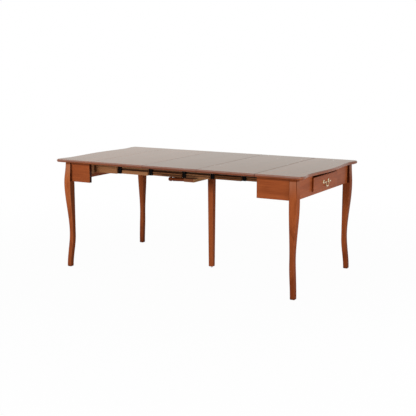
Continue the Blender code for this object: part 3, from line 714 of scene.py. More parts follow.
def end_setback(across):
    """How far the drawn line lies behind its bow, at a distance from the middle."""
    valley = HALF_WIDTH - VALLEY_FROM_EDGE
    ear = HALF_WIDTH - EAR_FROM_EDGE
    if across <= valley:
        return smooth_step(0.0, VALLEY_BACK, across / valley)
    return smooth_step(VALLEY_BACK, EAR_BACK, (across - valley) / (ear - valley))


def half_top(node, end, tone):
    """A half top with its drawn line at the left or the right end of the table."""
    low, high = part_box(node)
    tip, seam = (high.x, low.x) if end == RIGHT else (low.x, high.x)
    ear = HALF_WIDTH - EAR_FROM_EDGE
    bm = between(low, high)
    for y in (-ear, ear):
        cut_across(bm, Y, y)
    middle = [edge for edge in bm.edges if runs_along(edge, Y)
              and all(abs(vert.co.y) < ear + SMALL for vert in edge.verts)]
    bmesh.ops.subdivide_edges(bm, edges=middle, cuts=BOW_CUTS, use_grid_fill=True)
    for vert in bm.verts:
        if abs(vert.co.x - tip) < SMALL:
            vert.co.x -= end * end_setback(abs(vert.co.y))

    def at_ear(place):
        return abs(abs(place.y) - HALF_WIDTH) < SMALL and abs(place.x - seam) > EAR_RADIUS

    ears = [edge for edge in bm.edges if runs_along(edge, Z) and at_ear(edge.verts[0].co)]
    rounded(bm, ears, EAR_RADIUS, EAR_STEPS)
    at_seam = set(seam_edges(bm, seam))
    rim = [edge for edge in corners(bm, SQUARE_CORNER) if edge not in at_seam and not runs_along(edge, Z)]
    rounded_rim(bm, rim)
    seam_chamfer(bm, seam)
    return dress_top(bm, node, tone)


half_tops = [half_top("left_top", LEFT, tone=0.10), half_top("right_top", RIGHT, tone=-0.12)]
print("half tops:", [(piece.name, len(piece.data.polygons)) for piece in half_tops])

# %% [markdown]
# ## The loose leaves
# A leaf is a plain board whose rim matches the half tops at the front and back, so that it can lie
# between them.  It could be a shortened half top, but a block with two rounded edges and chamfered
# seams is all that it is.  Each leaf has its own tone, because boards are never quite alike.

# %% Leaves
def leaf(node, tone):
    """A loose leaf: rounded at the front and back, chamfered at its seams."""
    low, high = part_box(node)
    bm = between(low, high)
    rounded_rim(bm, [edge for edge in bm.edges if runs_along(edge, X)])
    for seam in (low.x, high.x):
        seam_chamfer(bm, seam)
    return dress_top(bm, node, tone)


LEAF_TONES = {"leaf_left": 0.0, "leaf_middle": -0.28, "leaf_right": -0.25}
leaves = [leaf(node, tone) for node, tone in LEAF_TONES.items()]
print("leaves:", [piece.name for piece in leaves])

# %% [markdown]
# ## Bowed legs
# A corner leg is sawn to the same S on both of its outer faces: it swells at the knee, draws in at the
# ankle and turns out at the foot.  Its inner faces stay straight, so that the aprons fit, until they
# follow the foot.  It could be lofted through drawn sections, but a block cut across many times, with
# each ring moved to the two curves, keeps the section square, and a bevel then rounds the long edges
# evenly.  The soles are darker, shade is painted into the corners by the aprons, down the outer corner,
# just under the top and on the inner faces, and the leg is paler in patches towards its top.

# %% The curves of a leg
LEG_TOP_OUT = {LEFT: -0.004, RIGHT: 0.001}
LEG_KNEE_OUT = 0.006
LEG_KNEE_HEIGHT = 0.615
LEG_ANKLE_OUT = -0.015
LEG_ANKLE_HEIGHT = 0.255
LEG_INNER_FACE = -0.049
LEG_FOOT_WIDTH = 0.034
LEG_BEND_HEIGHT = 0.230


def leg_faces(height, top, end):
    """Offsets of a bowed leg's outer and inner faces from the foot's outer plane, at a height."""
    if height >= LEG_KNEE_HEIGHT:
        share = (height - LEG_KNEE_HEIGHT) / (top - LEG_KNEE_HEIGHT)
        outer = smooth_step(LEG_KNEE_OUT, LEG_TOP_OUT[end], share)
    elif height >= LEG_ANKLE_HEIGHT:
        share = (height - LEG_ANKLE_HEIGHT) / (LEG_KNEE_HEIGHT - LEG_ANKLE_HEIGHT)
        outer = smooth_step(LEG_ANKLE_OUT, LEG_KNEE_OUT, share)
    else:
        outer = smooth_step(0.0, LEG_ANKLE_OUT, height / LEG_ANKLE_HEIGHT)
    inner = smooth_step(-LEG_FOOT_WIDTH, LEG_INNER_FACE, height / LEG_BEND_HEIGHT)
    return outer, inner


print("leg: knee at", LEG_KNEE_HEIGHT, "m, ankle at", LEG_ANKLE_HEIGHT, "m")

# %% Painted shade and other marks on a leg
APRON_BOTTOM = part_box("left_front_apron")[0].z
LEG_EDGE_ROUND = 0.0058
SOLE_SHADE = 0.55
LOWEST_RING = 0.014
LOWEST_SHADE = 0.22
# Painted shade: corners by the aprons, the outer corner, just under the top, and the inner faces.
CORNER_PAINTED_SHADE = (0.85, 0.97)
EDGE_PAINTED_SHADE = (0.35, 0.80)
EDGE_PAINTED_SHADE_FADE = 0.30
UNDER_TOP = 0.015
UNDER_TOP_SHADE = 0.50
LEG_TOP_PALE = 1.1
INNER_SHADE = (0.05, 0.42)
# How far a face has to look inwards, or outwards both ways, to count.
FACES_IN = -0.7
FACES_OUT = 0.3


def shade_and_pale_leg(bm, end, side, top):
    """Darken and pale a corner leg's faces by place and facing: a dark sole, and painted shade."""
    for face in bm.faces:
        height = face.calc_center_median().z
        share = (height - APRON_BOTTOM) / (top - APRON_BOTTOM)
        endwards = end * face.normal.x
        both_ways = min(endwards, side * face.normal.y)
        if height < LEG_EDGE_ROUND:
            mark(bm, "hollow", [face], SOLE_SHADE)
        elif height < LOWEST_RING:
            mark(bm, "hollow", [face], LOWEST_SHADE)
        # Painted shade in the corner by the apron, then down the outer corner.
        elif share > 0.0 and both_ways < FACES_IN:
            mark(bm, "hollow", [face], smooth_step(*CORNER_PAINTED_SHADE, share))
        elif share > -EDGE_PAINTED_SHADE_FADE and both_ways > FACES_OUT:
            fade = smooth_step(0.0, 1.0, 1.0 + share / EDGE_PAINTED_SHADE_FADE)
            mark(bm, "hollow", [face], fade * smooth_step(*EDGE_PAINTED_SHADE, share))
        # Painted shadow just under the top.
        elif height > top - UNDER_TOP:
            mark(bm, "hollow", [face], UNDER_TOP_SHADE)
        # The upper leg is made paler in patches.
        elif share > 0.0:
            mark(bm, "worn", [face], smooth_step(0.0, LEG_TOP_PALE, share))
        # Painted shade on the inner faces below the aprons.
        elif endwards < FACES_IN:
            mark(bm, "hollow", [face], smooth_step(*INNER_SHADE, height / APRON_BOTTOM))


print("legs meet the aprons from", round(APRON_BOTTOM, 3), "m up")

# %% Corner legs
FRONT, BACK = -1, 1
LEG_OVERHANG_X = {LEFT: 0.0785, RIGHT: 0.0490}
LEG_OVERHANG_Y = 0.0155
LEG_HEART_IN_X = 0.030
LEG_HEART_IN_Y = 0.006
LEG_HEART_HEIGHT = 0.4
LEG_CUTS = 56
LEG_EDGE_STEPS = 4
LEG_EDGE_WEAR = 0.10
FOOT_SHADE = 0.30


def bowed_leg(node, end, side, knee_tone, ankle_tone, lean=0.0):
    """A corner leg at one end and side of the table, darker towards its foot."""
    low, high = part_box(node)
    foot_x = SOLIDS_HIGH.x - LEG_OVERHANG_X[end]
    foot_y = SOLIDS_HIGH.y - LEG_OVERHANG_Y
    bm = between(Vector((-1.0, -1.0, low.z)), Vector((1.0, 1.0, high.z)))
    upright = [edge for edge in bm.edges if runs_along(edge, Z)]
    bmesh.ops.subdivide_edges(bm, edges=upright, cuts=LEG_CUTS, use_grid_fill=True)
    for vert in bm.verts:
        outer, inner = leg_faces(vert.co.z, high.z, end)
        leaning = smooth_step(0.0, lean, vert.co.z / LEG_KNEE_HEIGHT)
        vert.co.x = end * (foot_x + (outer if vert.co.x > 0 else inner) - leaning)
        vert.co.y = side * (foot_y + (outer if vert.co.y > 0 else inner))
    bm.normal_update()
    bmesh.ops.recalc_face_normals(bm, faces=bm.faces)
    eased(bm, corners(bm, SQUARE_CORNER), LEG_EDGE_ROUND, LEG_EDGE_STEPS, LEG_EDGE_WEAR)
    bm.normal_update()
    shade_and_pale_leg(bm, end, side, high.z)

    def darker_foot(place):
        rise = (place.z - LEG_ANKLE_HEIGHT) / (LEG_KNEE_HEIGHT - LEG_ANKLE_HEIGHT)
        tone = smooth_step(ankle_tone, knee_tone, rise)
        return tone - smooth_step(FOOT_SHADE, 0.0, place.z / LEG_BEND_HEIGHT)

    heart = Vector((end * (foot_x - LEG_HEART_IN_X), side * (foot_y - LEG_HEART_IN_Y), LEG_HEART_HEIGHT))
    return dress(bm, node, LACQUER["z"], heart, darker_foot)


legs = [
    bowed_leg("left_front_leg", LEFT, FRONT, knee_tone=0.20, ankle_tone=0.04, lean=0.0010),
    bowed_leg("left_back_leg", LEFT, BACK, knee_tone=0.12, ankle_tone=-0.14, lean=0.0060),
    bowed_leg("right_front_leg", RIGHT, FRONT, knee_tone=-0.18, ankle_tone=-0.26),
    bowed_leg("right_back_leg", RIGHT, BACK, knee_tone=-0.22, ankle_tone=-0.26),
]
print("legs:", [(piece.name, len(piece.data.polygons)) for piece in legs])

# %% [markdown]
# ## The fifth leg and its glide
# The leg in the middle is straight and tapers down to a small steel button that slides on the floor.
# It could be one of the corner legs without its curves, but a block whose foot is scaled down is
# simpler.  The cuts along it only let painted shade darken its tone smoothly towards the top.

# %% The fifth leg
STRAIGHT_LEG_FOOT = 0.034
STRAIGHT_LEG_CUTS = 8
STRAIGHT_LEG_EASE = 0.0035
# Painted shade: the fifth leg is darker towards its top, under the runners.
STRAIGHT_LEG_SHADE = 0.15
STRAIGHT_LEG_TONE = -0.02
STRAIGHT_LEG_HEART = Vector((0.008, 0.011, 0.0))
GLIDE_HEIGHT = 0.0110
GLIDE_RADIUS = 0.0070
BUTTON_SIDES = 32
BUTTON_ROUND = 0.6
BUTTON_STEPS = 4


def straight_leg(node, tone):
    """The fifth leg, tapered from the plate down to its glide."""
    low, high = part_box(node)
    middle = (low + high) / 2
    bm = between(Vector((low.x, low.y, low.z + GLIDE_HEIGHT)), high)
    foot = [vert for vert in bm.verts if vert.co.z < middle.z]
    taper = STRAIGHT_LEG_FOOT / (high.x - low.x)
    bmesh.ops.scale(bm, vec=(taper, taper, 1.0), space=Matrix.Translation(-middle), verts=foot)
    upright = [edge for edge in bm.edges if edge.calc_length() > LEG_BEND_HEIGHT]
    bmesh.ops.subdivide_edges(bm, edges=upright, cuts=STRAIGHT_LEG_CUTS, use_grid_fill=True)
    bm.normal_update()
    eased(bm, corners(bm, SQUARE_CORNER), STRAIGHT_LEG_EASE, LEG_EDGE_STEPS, LEG_EDGE_WEAR)

    # Painted shade towards the top.
    def darker_top(place):
        return tone - smooth_step(0.0, STRAIGHT_LEG_SHADE, (place.z - middle.z) / (high.z - middle.z))

    return dress(bm, node, LACQUER["z"], middle + STRAIGHT_LEG_HEART, darker_top)


def button(radius, height):
    """A round button about the origin, with its lower rim rounded off."""
    bm = new_shape()
    bmesh.ops.create_cone(bm, cap_ends=True, segments=BUTTON_SIDES, radius1=radius, radius2=radius,
                          depth=height)
    sole = min(bm.faces, key=lambda face: face.calc_center_median().z)
    rounded(bm, list(sole.edges), height * BUTTON_ROUND, BUTTON_STEPS)
    return bm


def glide(name, leg_node):
    """The small steel button that the fifth leg stands on."""
    low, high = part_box(leg_node)
    bm = button(GLIDE_RADIUS, GLIDE_HEIGHT)
    at = Vector(((low.x + high.x) / 2, (low.y + high.y) / 2, low.z + GLIDE_HEIGHT / 2))
    bmesh.ops.translate(bm, vec=at, verts=bm.verts)
    piece = settle(bm, name, BODY_OF[leg_node], ZINC)
    return piece


fifth_leg = [straight_leg("centre_leg", STRAIGHT_LEG_TONE), glide("centre_glide", "centre_leg")]
print("fifth leg:", [(piece.name, len(piece.data.polygons)) for piece in fifth_leg])

# %% [markdown]
# ## Aprons and cleats
# The aprons are plain boards between the legs, and the one at the right end is cut out for the drawer.
# A cleat stiffens each side apron from behind.  New blocks would do, but the frame already has the
# cut-out, so a copy is merged and every sharp edge is taken off with a small round, as sandpaper does.
# A side apron has painted shadow just under the top and in the corner by its leg, and its sawn end at
# the seam has drunk so much stain that it is almost black.

# %% Boards from the frame
APRON_EASE = 0.0009
RUNNER_EASE = 0.0007
SAWN_SHADE = 0.95
LEG_CORNER = 0.010
# Painted shadow beside the leg, strongest on the left.
LEG_CORNER_SHADES = {LEFT: 0.50, RIGHT: 0.12}
APRON_LOW_HEIGHT = 0.035
APRON_LOW_TONE = -0.12
CLEAT_TONE = 0.40


def board(node, finish, ease, tone=0.0):
    """A board of the frame with its sharp edges taken off."""
    bm = as_modelled(node)
    eased(bm, corners(bm), ease)
    return dress(bm, node, finish, tone=tone)


def side_apron(node, end, tone):
    """A side apron at one end of the table, darker at its edges, with painted shadow at its top and by its leg."""
    low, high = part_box(node)
    shadow_line = high.z - UNDER_TOP
    corner_line = (high.x if end == RIGHT else low.x) - end * LEG_CORNER
    bm = as_modelled(node)
    eased(bm, corners(bm), APRON_EASE)
    cut_across(bm, Z, shadow_line)
    cut_across(bm, X, corner_line)
    bm.normal_update()
    for face in bm.faces:
        centre = face.calc_center_median()
        if end * face.normal.x < FACES_IN:
            mark(bm, "hollow", [face], SAWN_SHADE)
        # Painted shadow just under the top and beside the leg.
        elif centre.z > shadow_line:
            mark(bm, "hollow", [face], UNDER_TOP_SHADE)
        elif end * centre.x > end * corner_line:
            mark(bm, "hollow", [face], LEG_CORNER_SHADES[end])

    def darker_below(place):
        return tone + smooth_step(APRON_LOW_TONE, 0.0, (place.z - low.z) / APRON_LOW_HEIGHT)

    return dress(bm, node, LACQUER["x"], tone=darker_below)


aprons = [
    side_apron("left_front_apron", LEFT, tone=-0.14),
    side_apron("left_back_apron", LEFT, tone=0.0),
    side_apron("right_front_apron", RIGHT, tone=0.0),
    side_apron("right_back_apron", RIGHT, tone=0.02),
    board("left_end_apron", LACQUER["y"], APRON_EASE),
    board("right_end_apron", LACQUER["y"], APRON_EASE, tone=0.02),
]
cleats = [board(f"{end}_{side}_cleat", RUNNER_WOOD, RUNNER_EASE, CLEAT_TONE)
          for end in ("left", "right") for side in ("front", "back")]
print("aprons and cleats:", len(aprons), len(cleats))

# %% [markdown]
# ## Runners
# Each pack has seven runners that slide on each other.  A runner is planed to a section with a dovetail
# groove outside and a tongue inside, and some have a saw kerf below the groove.  The frame has the
# groove and tongue, and the kerf could be a dark line in the finish, but a line has no depth from the
# side.  So it is cut: two cuts part a strip from the outer face, and the strip is pushed in.  Over the
# bar the runners are darker, and the shade fades out in steps on both sides of it.

# %% A saw kerf
KERF = (0.0125, 0.0168)
KERF_DEPTH = 0.0025
SQUARE_ON = 0.99


def push_in(bm, faces, step):
    """Push some faces in by a step, with walls round them, and give back the pushed faces."""
    pushed = bmesh.ops.extrude_face_region(bm, geom=faces)["geom"]
    bmesh.ops.delete(bm, geom=faces, context="FACES")
    moved = [part for part in pushed if isinstance(part, bmesh.types.BMVert)]
    bmesh.ops.translate(bm, vec=step, verts=moved)
    return [part for part in pushed if isinstance(part, bmesh.types.BMFace)]


def saw_kerf(bm, side, outer, bottom):
    """Saw a kerf along the outer face of a runner on the front or back side."""
    for lift in KERF:
        cut_across(bm, Z, bottom + lift)
    middle = bottom + sum(KERF) / 2

    def in_kerf(face):
        centre = face.calc_center_median()
        on_face = abs(face.normal.y) > SQUARE_ON and abs(centre.y - outer) < SMALL
        return on_face and abs(centre.z - middle) < SMALL

    push_in(bm, [face for face in bm.faces if in_kerf(face)], (0.0, -side * KERF_DEPTH, 0.0))
    whole_faces(bm)


print("kerf:", round(KERF[1] - KERF[0], 4), "m wide and", KERF_DEPTH, "m deep")

# %% Runners
RUNNER_TONES = {"a": -0.04, "b": 0.02, "c": -0.32, "d": 0.0, "e": -0.36, "f": -0.35, "g": 0.0}
KERFED = "cdef"
RUNNER_EASE_STEPS = 2
GROOVE_LIFT = 0.0317
GROOVE_HALF = 0.0090
GROOVE_DEPTHS = (0.0012, 0.0095)
# Painted shade in the grooves and on the runners' lower parts over the bar.
GROOVE_SHADE = 0.85
FACES_LENGTHWISE = 0.5
BAR_SPAN = (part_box("bar_peg")[0].x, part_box("centre_bar")[1].x)
BAR_SPAN_HEIGHT = 0.0200
BAR_SPAN_SHADE = 0.60
BAR_SPAN_FADE = 0.060
BAR_SPAN_STEPS = 8


def over_bar(x):
    """1 over the bar and its peg, fading to 0 on both sides."""
    outside = max(BAR_SPAN[0] - x, x - BAR_SPAN[1], 0.0)
    return smooth_step(1.0, 0.0, outside / BAR_SPAN_FADE)


def in_groove(face, outer, bottom):
    """Whether a face is a wall or the floor of a runner's groove or kerf."""
    centre = face.calc_center_median()
    lift = centre.z - bottom
    within = GROOVE_DEPTHS[0] < abs(outer) - abs(centre.y) < GROOVE_DEPTHS[1]
    level = abs(lift - GROOVE_LIFT) < GROOVE_HALF or KERF[0] < lift < KERF[1]
    return within and level and abs(face.normal.x) < FACES_LENGTHWISE


def runner(node, side, grooved, kerfed, tone):
    """A runner, perhaps with painted shade in its groove and with a saw kerf below it on its outer face."""
    low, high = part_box(node)
    outer = high.y if side == BACK else low.y
    bm = as_modelled(node)
    if kerfed:
        saw_kerf(bm, side, outer, low.z)
    bmesh.ops.recalc_face_normals(bm, faces=bm.faces)
    eased(bm, corners(bm), RUNNER_EASE, RUNNER_EASE_STEPS)
    for step in range(BAR_SPAN_STEPS + 1):
        fade = BAR_SPAN_FADE * step / BAR_SPAN_STEPS
        cut_across(bm, X, BAR_SPAN[0] - fade)
        cut_across(bm, X, BAR_SPAN[1] + fade)
    bm.normal_update()
    for face in bm.faces:
        centre = face.calc_center_median()
        # Painted shade in the groove, and over the bar.
        if grooved and in_groove(face, outer, low.z):
            mark(bm, "hollow", [face], GROOVE_SHADE)
        elif centre.z < low.z + BAR_SPAN_HEIGHT:
            mark(bm, "hollow", [face], BAR_SPAN_SHADE * over_bar(centre.x))
    return dress(bm, node, RUNNER_WOOD, tone=tone)


runners = [runner(f"{name}_runner_{letter}", side, letter != "a", letter in KERFED, tone)
           for name, side in (("front", FRONT), ("back", BACK)) for letter, tone in RUNNER_TONES.items()]
print("runners:", [(piece.name, len(piece.data.polygons)) for piece in runners[:2]])

# %% [markdown]
# ## Keepers
# A black block on a runner's right end keeps it from being pulled out of its neighbour.  It is moulded,
# so its edges are rounder than the wood's and its end face is dished where the mould's sprue was.  A
# plain cube would do from afar, but an inset that is pushed in gives the dish for a few faces more.

# %% Keeper blocks
KEEPER_EASE = 0.0016
KEEPER_RIM = 0.0025
KEEPER_DISH = KEEPER_RIM / 3


def keeper(node):
    """A moulded black block with a shallow dish in its outer end."""
    low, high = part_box(node)
    bm = between(low, high)
    end_face = max(bm.faces, key=lambda face: face.calc_center_median().x)
    bmesh.ops.inset_region(bm, faces=[end_face], thickness=KEEPER_RIM)
    bmesh.ops.translate(bm, vec=(-KEEPER_DISH, 0.0, 0.0), verts=end_face.verts)
    eased(bm, corners(bm, SQUARE_CORNER), KEEPER_EASE)
    return dress(bm, node, KEEPER_PLASTIC)


keepers = [keeper(f"{side}_keeper_{letter}") for side in ("front", "back") for letter in "abcdef"]
print("keepers:", len(keepers))

# %% [markdown]
# ## Bar and plate
# The fifth leg carries a steel plate, and the plate a bar that crosses under the fixed middle runners.
# Both are plain boards, copied from the frame and eased.  The bar's sides are dark just under the
# runners, where little light gets in.  The shader could look for such corners by itself, but that takes
# many more rays, so one more cut parts the dark band and its faces are marked.

# %% Bar and plate
BAR_SHADE_DROP = 0.009
# Painted shade on the bar's top band, under the runners.
BAR_SHADE = 0.88
BAR_TONE = 0.60


def crossing_bar(node, tone):
    """The bar, with painted shade on its sides and ends under the runners."""
    shade_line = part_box(node)[1].z - BAR_SHADE_DROP
    bm = as_modelled(node)
    eased(bm, corners(bm), APRON_EASE)
    cut_across(bm, Z, shade_line)
    mark(bm, "hollow", [face for face in bm.faces if face.calc_center_median().z > shade_line], BAR_SHADE)
    return dress(bm, node, BAR_WOOD, tone=tone)


bar = crossing_bar("centre_bar", BAR_TONE)
plate = board("centre_leg_plate", ZINC, RUNNER_EASE)
print("support:", bar.name, plate.name)

# %% [markdown]
# ## The turned peg
# A short turned peg sits on the bar's left side at the front: a plain shank, a bead, and a long ball at
# its free end.  It could be put together from balls and cylinders, but a lathe makes it in one go, and
# so does spin: half a profile goes round the axis, with the beads worked out as half ellipses.

# %% A lathe
TURN_STEPS = 48
BEAD_STEPS = 8


def turned(profile, axis_point):
    """A turned shape about X from (along, radius) points that start and end on the axis."""
    bm = new_shape()
    points = [bm.verts.new((along, 0.0, radius)) for along, radius in profile]
    edges = [bm.edges.new(pair) for pair in zip(points, points[1:])]
    bmesh.ops.spin(bm, geom=points + edges, cent=(0.0, 0.0, 0.0), axis=(1.0, 0.0, 0.0), steps=TURN_STEPS,
                   angle=2 * math.pi, use_merge=True)
    bmesh.ops.remove_doubles(bm, verts=bm.verts, dist=SMALL)
    bmesh.ops.translate(bm, vec=axis_point, verts=bm.verts)
    return bm


def bead(start, width, root, crown):
    """Points of a half-round bead on a turned profile."""
    turn = [math.pi * i / BEAD_STEPS for i in range(BEAD_STEPS + 1)]
    return [(start + width * (1 - math.cos(a)) / 2, root + (crown - root) * math.sin(a)) for a in turn]


print("lathe:", TURN_STEPS, "steps to a turn")

# %% The peg
PEG_BEADS = (0.030, 0.010)
PEG_GAP = 0.0055
PEG_WAIST = 0.0090
PEG_SHANK = 0.0135
PEG_DROP = math.radians(-2.2)
# Painted shade: the peg lies in shadow, darkest on the shank's upper side.
PEG_SHADE = 0.5
PEG_TOP_SHADE = 0.85
PEG_FACES_UP = 0.2
PEG_TONE = -0.35


def turned_peg(node):
    """The peg: a plain shank that ends in a bead and a long ball, and hangs a little."""
    low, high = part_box(node)
    radius = (high.z - low.z) / 2
    length = high.x - low.x
    along = 0.0
    profile = [(0.0, 0.0)]
    for width in PEG_BEADS:
        profile += bead(along, width, PEG_WAIST, radius)
        along += width + PEG_GAP
    profile += [(along, PEG_WAIST), (along, PEG_SHANK), (length, PEG_SHANK), (length, 0.0)]
    middle = (low + high) / 2
    bm = turned(profile, (low.x, middle.y, middle.z))
    root = Vector((high.x, middle.y, middle.z))
    bmesh.ops.rotate(bm, cent=root, matrix=Matrix.Rotation(PEG_DROP, 3, "Y"), verts=bm.verts)
    bm.normal_update()
    bmesh.ops.recalc_face_normals(bm, faces=bm.faces)
    # Painted shade all over the peg, and more on the shank's upper side.
    mark(bm, "hollow", bm.faces, PEG_SHADE)
    on_shank = [face for face in bm.faces if face.calc_center_median().x > low.x + along]
    mark(bm, "hollow", [face for face in on_shank if face.normal.z > PEG_FACES_UP], PEG_TOP_SHADE)
    return dress(bm, node, LACQUER["x"], tone=PEG_TONE, crease=60.0)


peg = turned_peg("bar_peg")
print("peg:", peg.name, len(peg.data.polygons))

# %% [markdown]
# ## Screws
# Four screws hold the plate up to the bar.  A screw's head is a low dome with a cross cut into it.  A
# Boolean could cut the cross, but the cap is flat: it is sliced along the cross's sides, and the
# slices inside the cross are pushed in, as the kerf of a runner is.

# %% Plate screws
SCREW_RADIUS = 0.0042
SCREW_HEIGHT = 0.0018
SCREW_INSET = 0.010
CROSS_HALF = 0.0006
CROSS_REACH = 0.0026
CROSS_DEPTH = 0.0011


def in_cross(face):
    """Whether a face is a slice of a screw's flat cap that lies inside the cross."""
    centre = face.calc_center_median()
    near, far = sorted((abs(centre.x), abs(centre.y)))
    on_cap = centre.z < 0 and face.normal.z < -SQUARE_ON
    return on_cap and near < CROSS_HALF and far < CROSS_REACH


def cross_screw(name, at, body):
    """A cross-headed screw seen from below, with its head under the point given."""
    bm = button(SCREW_RADIUS, SCREW_HEIGHT)
    for axis in (X, Y):
        for side in (-CROSS_HALF, CROSS_HALF, -CROSS_REACH, CROSS_REACH):
            cut_across(bm, axis, side)
    cross = [face for face in bm.faces if in_cross(face)]
    mark(bm, "hollow", push_in(bm, cross, (0.0, 0.0, CROSS_DEPTH)))
    bmesh.ops.translate(bm, vec=Vector(at) - Vector((0.0, 0.0, SCREW_HEIGHT / 2)), verts=bm.verts)
    screw = settle(bm, name, body, ZINC)
    return screw


plate_low, plate_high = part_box("centre_leg_plate")
screws = []
for i, x in enumerate((plate_low.x + SCREW_INSET, plate_high.x - SCREW_INSET)):
    for j, y in enumerate((plate_low.y + SCREW_INSET, plate_high.y - SCREW_INSET)):
        screws.append(cross_screw(f"plate_screw_{i}{j}", (x, y, plate_low.z), BODY_OF["centre_leg_plate"]))
print("screws:", len(screws))

# %% [markdown]
# ## The drawer
# The drawer's front overlaps the opening in the end apron and has a soft edge.  Its box is paler wood
# and hangs on two strips by grooves in its sides.  The boards could be modelled anew, but the frame has
# their grooves already, so each is a copy with eased edges, and only the wood and its tone differ.

# %% Drawer boards
DRAWER_FRONT_EASE = 0.0008
drawer_front = board("drawer_front", LACQUER["y"], DRAWER_FRONT_EASE, tone=-0.10)
drawer_box = [
    board("drawer_side_front", DRAWER_WOOD["x"], RUNNER_EASE),
    board("drawer_side_back", DRAWER_WOOD["x"], RUNNER_EASE, tone=0.05),
    board("drawer_back", DRAWER_WOOD["y"], RUNNER_EASE, tone=-0.03),
    board("drawer_bottom", DRAWER_WOOD["y"], RUNNER_EASE, tone=0.10),
]
strips = [board(f"drawer_strip_{side}", RUNNER_WOOD, RUNNER_EASE) for side in ("front", "back")]
print("drawer:", drawer_front.name, len(drawer_box), len(strips))

# %% [markdown]
# ## The drop pull
# Two turned rosettes carry posts, and a bail hangs in them.  The rosettes come off the same lathe as the
# peg, from a profile with a bead, a cove and a round nose.  The bail is a wire that is thin at its pins
# and swells to the middle of its bow.  Rings could be bridged along it, but a curve takes a radius at
# each point, so it is drawn as a curve and then made a mesh.

# %% Rosettes
POST_RADIUS = 0.0052
ROSETTE_FOOT = 0.0008
ROSETTE_BEAD = 0.0012
ROSETTE_BEAD_ROOT = 0.90
ROSETTE_BEAD_CROWN = 0.97
ROSETTE_STEPS = 6
COVE_START = 0.0022
COVE_LENGTH = 0.0030
COVE_RADIUS = 0.84
COVE_DULL = (0.0018, 0.0056)
COVE_TARNISH = 0.25


def rosette(node):
    """A turned rosette: a stepped foot, a cove, and a post with a round nose."""
    low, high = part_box(node)
    radius = (high.z - low.z) / 2
    length = high.x - low.x
    wide = radius * COVE_RADIUS
    nose = length - POST_RADIUS
    quarter = [math.pi / 2 * i / ROSETTE_STEPS for i in range(ROSETTE_STEPS + 1)]
    profile = [(0.0, 0.0), (0.0, radius), (ROSETTE_FOOT, radius)]
    profile += bead(ROSETTE_FOOT, ROSETTE_BEAD, radius * ROSETTE_BEAD_ROOT, radius * ROSETTE_BEAD_CROWN)
    for a in quarter:
        along = COVE_START + COVE_LENGTH * (1 - math.cos(a))
        profile.append((along, wide - (wide - POST_RADIUS) * math.sin(a)))
    for a in quarter[:-1]:
        profile.append((nose + POST_RADIUS * math.sin(a), POST_RADIUS * math.cos(a)))
    profile.append((length, 0.0))
    middle = (low + high) / 2
    bm = turned(profile, (low.x, middle.y, middle.z))
    dull_from, dull_to = (low.x + step for step in COVE_DULL)
    dull = [face for face in bm.faces if dull_from < face.calc_center_median().x < dull_to]
    mark(bm, "hollow", dull, COVE_TARNISH)
    return dress(bm, node, BRASS, crease=70.0)


rosettes = [rosette("pull_rosette_front"), rosette("pull_rosette_back")]
print("rosettes:", [(piece.name, len(piece.data.polygons)) for piece in rosettes])

# %% The bail
PULL_AXIS = Vector(next(joint for joint in frame["joints"] if joint["name"] == "bail_swing")["pos_m"])
BAIL_WIRE = 0.0024
BAIL_BELLY = 0.0034
BAIL_NECK = 0.020
BAIL_WIDE = 0.003
BAIL_SHOULDER_DROP = 0.017
BAIL_TURN_IN = 0.0048
BAIL_STEPS = 14
BAIL_ROUNDNESS = 4
# The bail's arms above the bow are made dull and dark.
BAIL_ARMS_DULL = 1.2


def bail_line(pin, drop):
    """The bail's (y, z, radius) points: pin, shoulder that swells out, neck, dropped bow, and back."""
    inside = pin - 2 * POST_RADIUS
    half = [(pin, 0.0, BAIL_WIRE), (inside, 0.0, BAIL_WIRE)]
    shares = [i / BAIL_STEPS for i in range(1, BAIL_STEPS + 1)]
    for share in shares:
        swell = BAIL_WIDE * math.sin(math.pi * share)
        y = smooth_step(inside - BAIL_TURN_IN, BAIL_NECK, share) + swell
        half.append((y, -BAIL_SHOULDER_DROP * share, BAIL_WIRE))
    for share in shares:
        angle = math.pi / 2 * share
        z = -BAIL_SHOULDER_DROP - (drop - BAIL_SHOULDER_DROP) * math.sin(angle)
        half.append((BAIL_NECK * math.cos(angle), z, smooth_step(BAIL_WIRE, BAIL_BELLY, share)))
    return half + [(-y, z, radius) for y, z, radius in reversed(half[:-1])]


def drawn_wire(name, line, centre):
    """The mesh of a wire with a radius at each of its (y, z, radius) points about a centre."""
    wire = bpy.data.curves.new(name, "CURVE")
    wire.dimensions = "3D"
    wire.bevel_depth = 1.0
    wire.bevel_resolution = BAIL_ROUNDNESS
    wire.use_fill_caps = True
    spline = wire.splines.new("POLY")
    spline.points.add(len(line) - 1)
    for point, (y, z, radius) in zip(spline.points, line):
        point.co = (*(centre + Vector((0.0, y, z))), 1.0)
        point.radius = radius
    drawn = bpy.data.objects.new(name, wire)
    bpy.context.scene.collection.objects.link(drawn)
    graph = bpy.context.evaluated_depsgraph_get()
    mesh = bpy.data.meshes.new_from_object(drawn.evaluated_get(graph))
    bpy.data.objects.remove(drawn, do_unlink=True)
    return mesh


def bail(node):
    """The bail that hangs in the posts, thickest and brightest at the middle of its bow."""
    low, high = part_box(node)
    line = bail_line(high.y, PULL_AXIS.z - low.z - BAIL_BELLY)
    bm = new_shape()
    bm.from_mesh(drawn_wire("bail_wire", line, PULL_AXIS))
    bmesh.ops.remove_doubles(bm, verts=bm.verts, dist=SMALL)
    belly = low.z + 2 * BAIL_BELLY
    # The arms above the bow are made dull and dark.
    mark(bm, "hollow", [face for face in bm.faces if face.calc_center_median().z > belly], BAIL_ARMS_DULL)
    return dress(bm, node, BRASS, crease=70.0)


pull_bail = bail("pull_bail")
print("bail:", pull_bail.name, len(pull_bail.data.polygons))

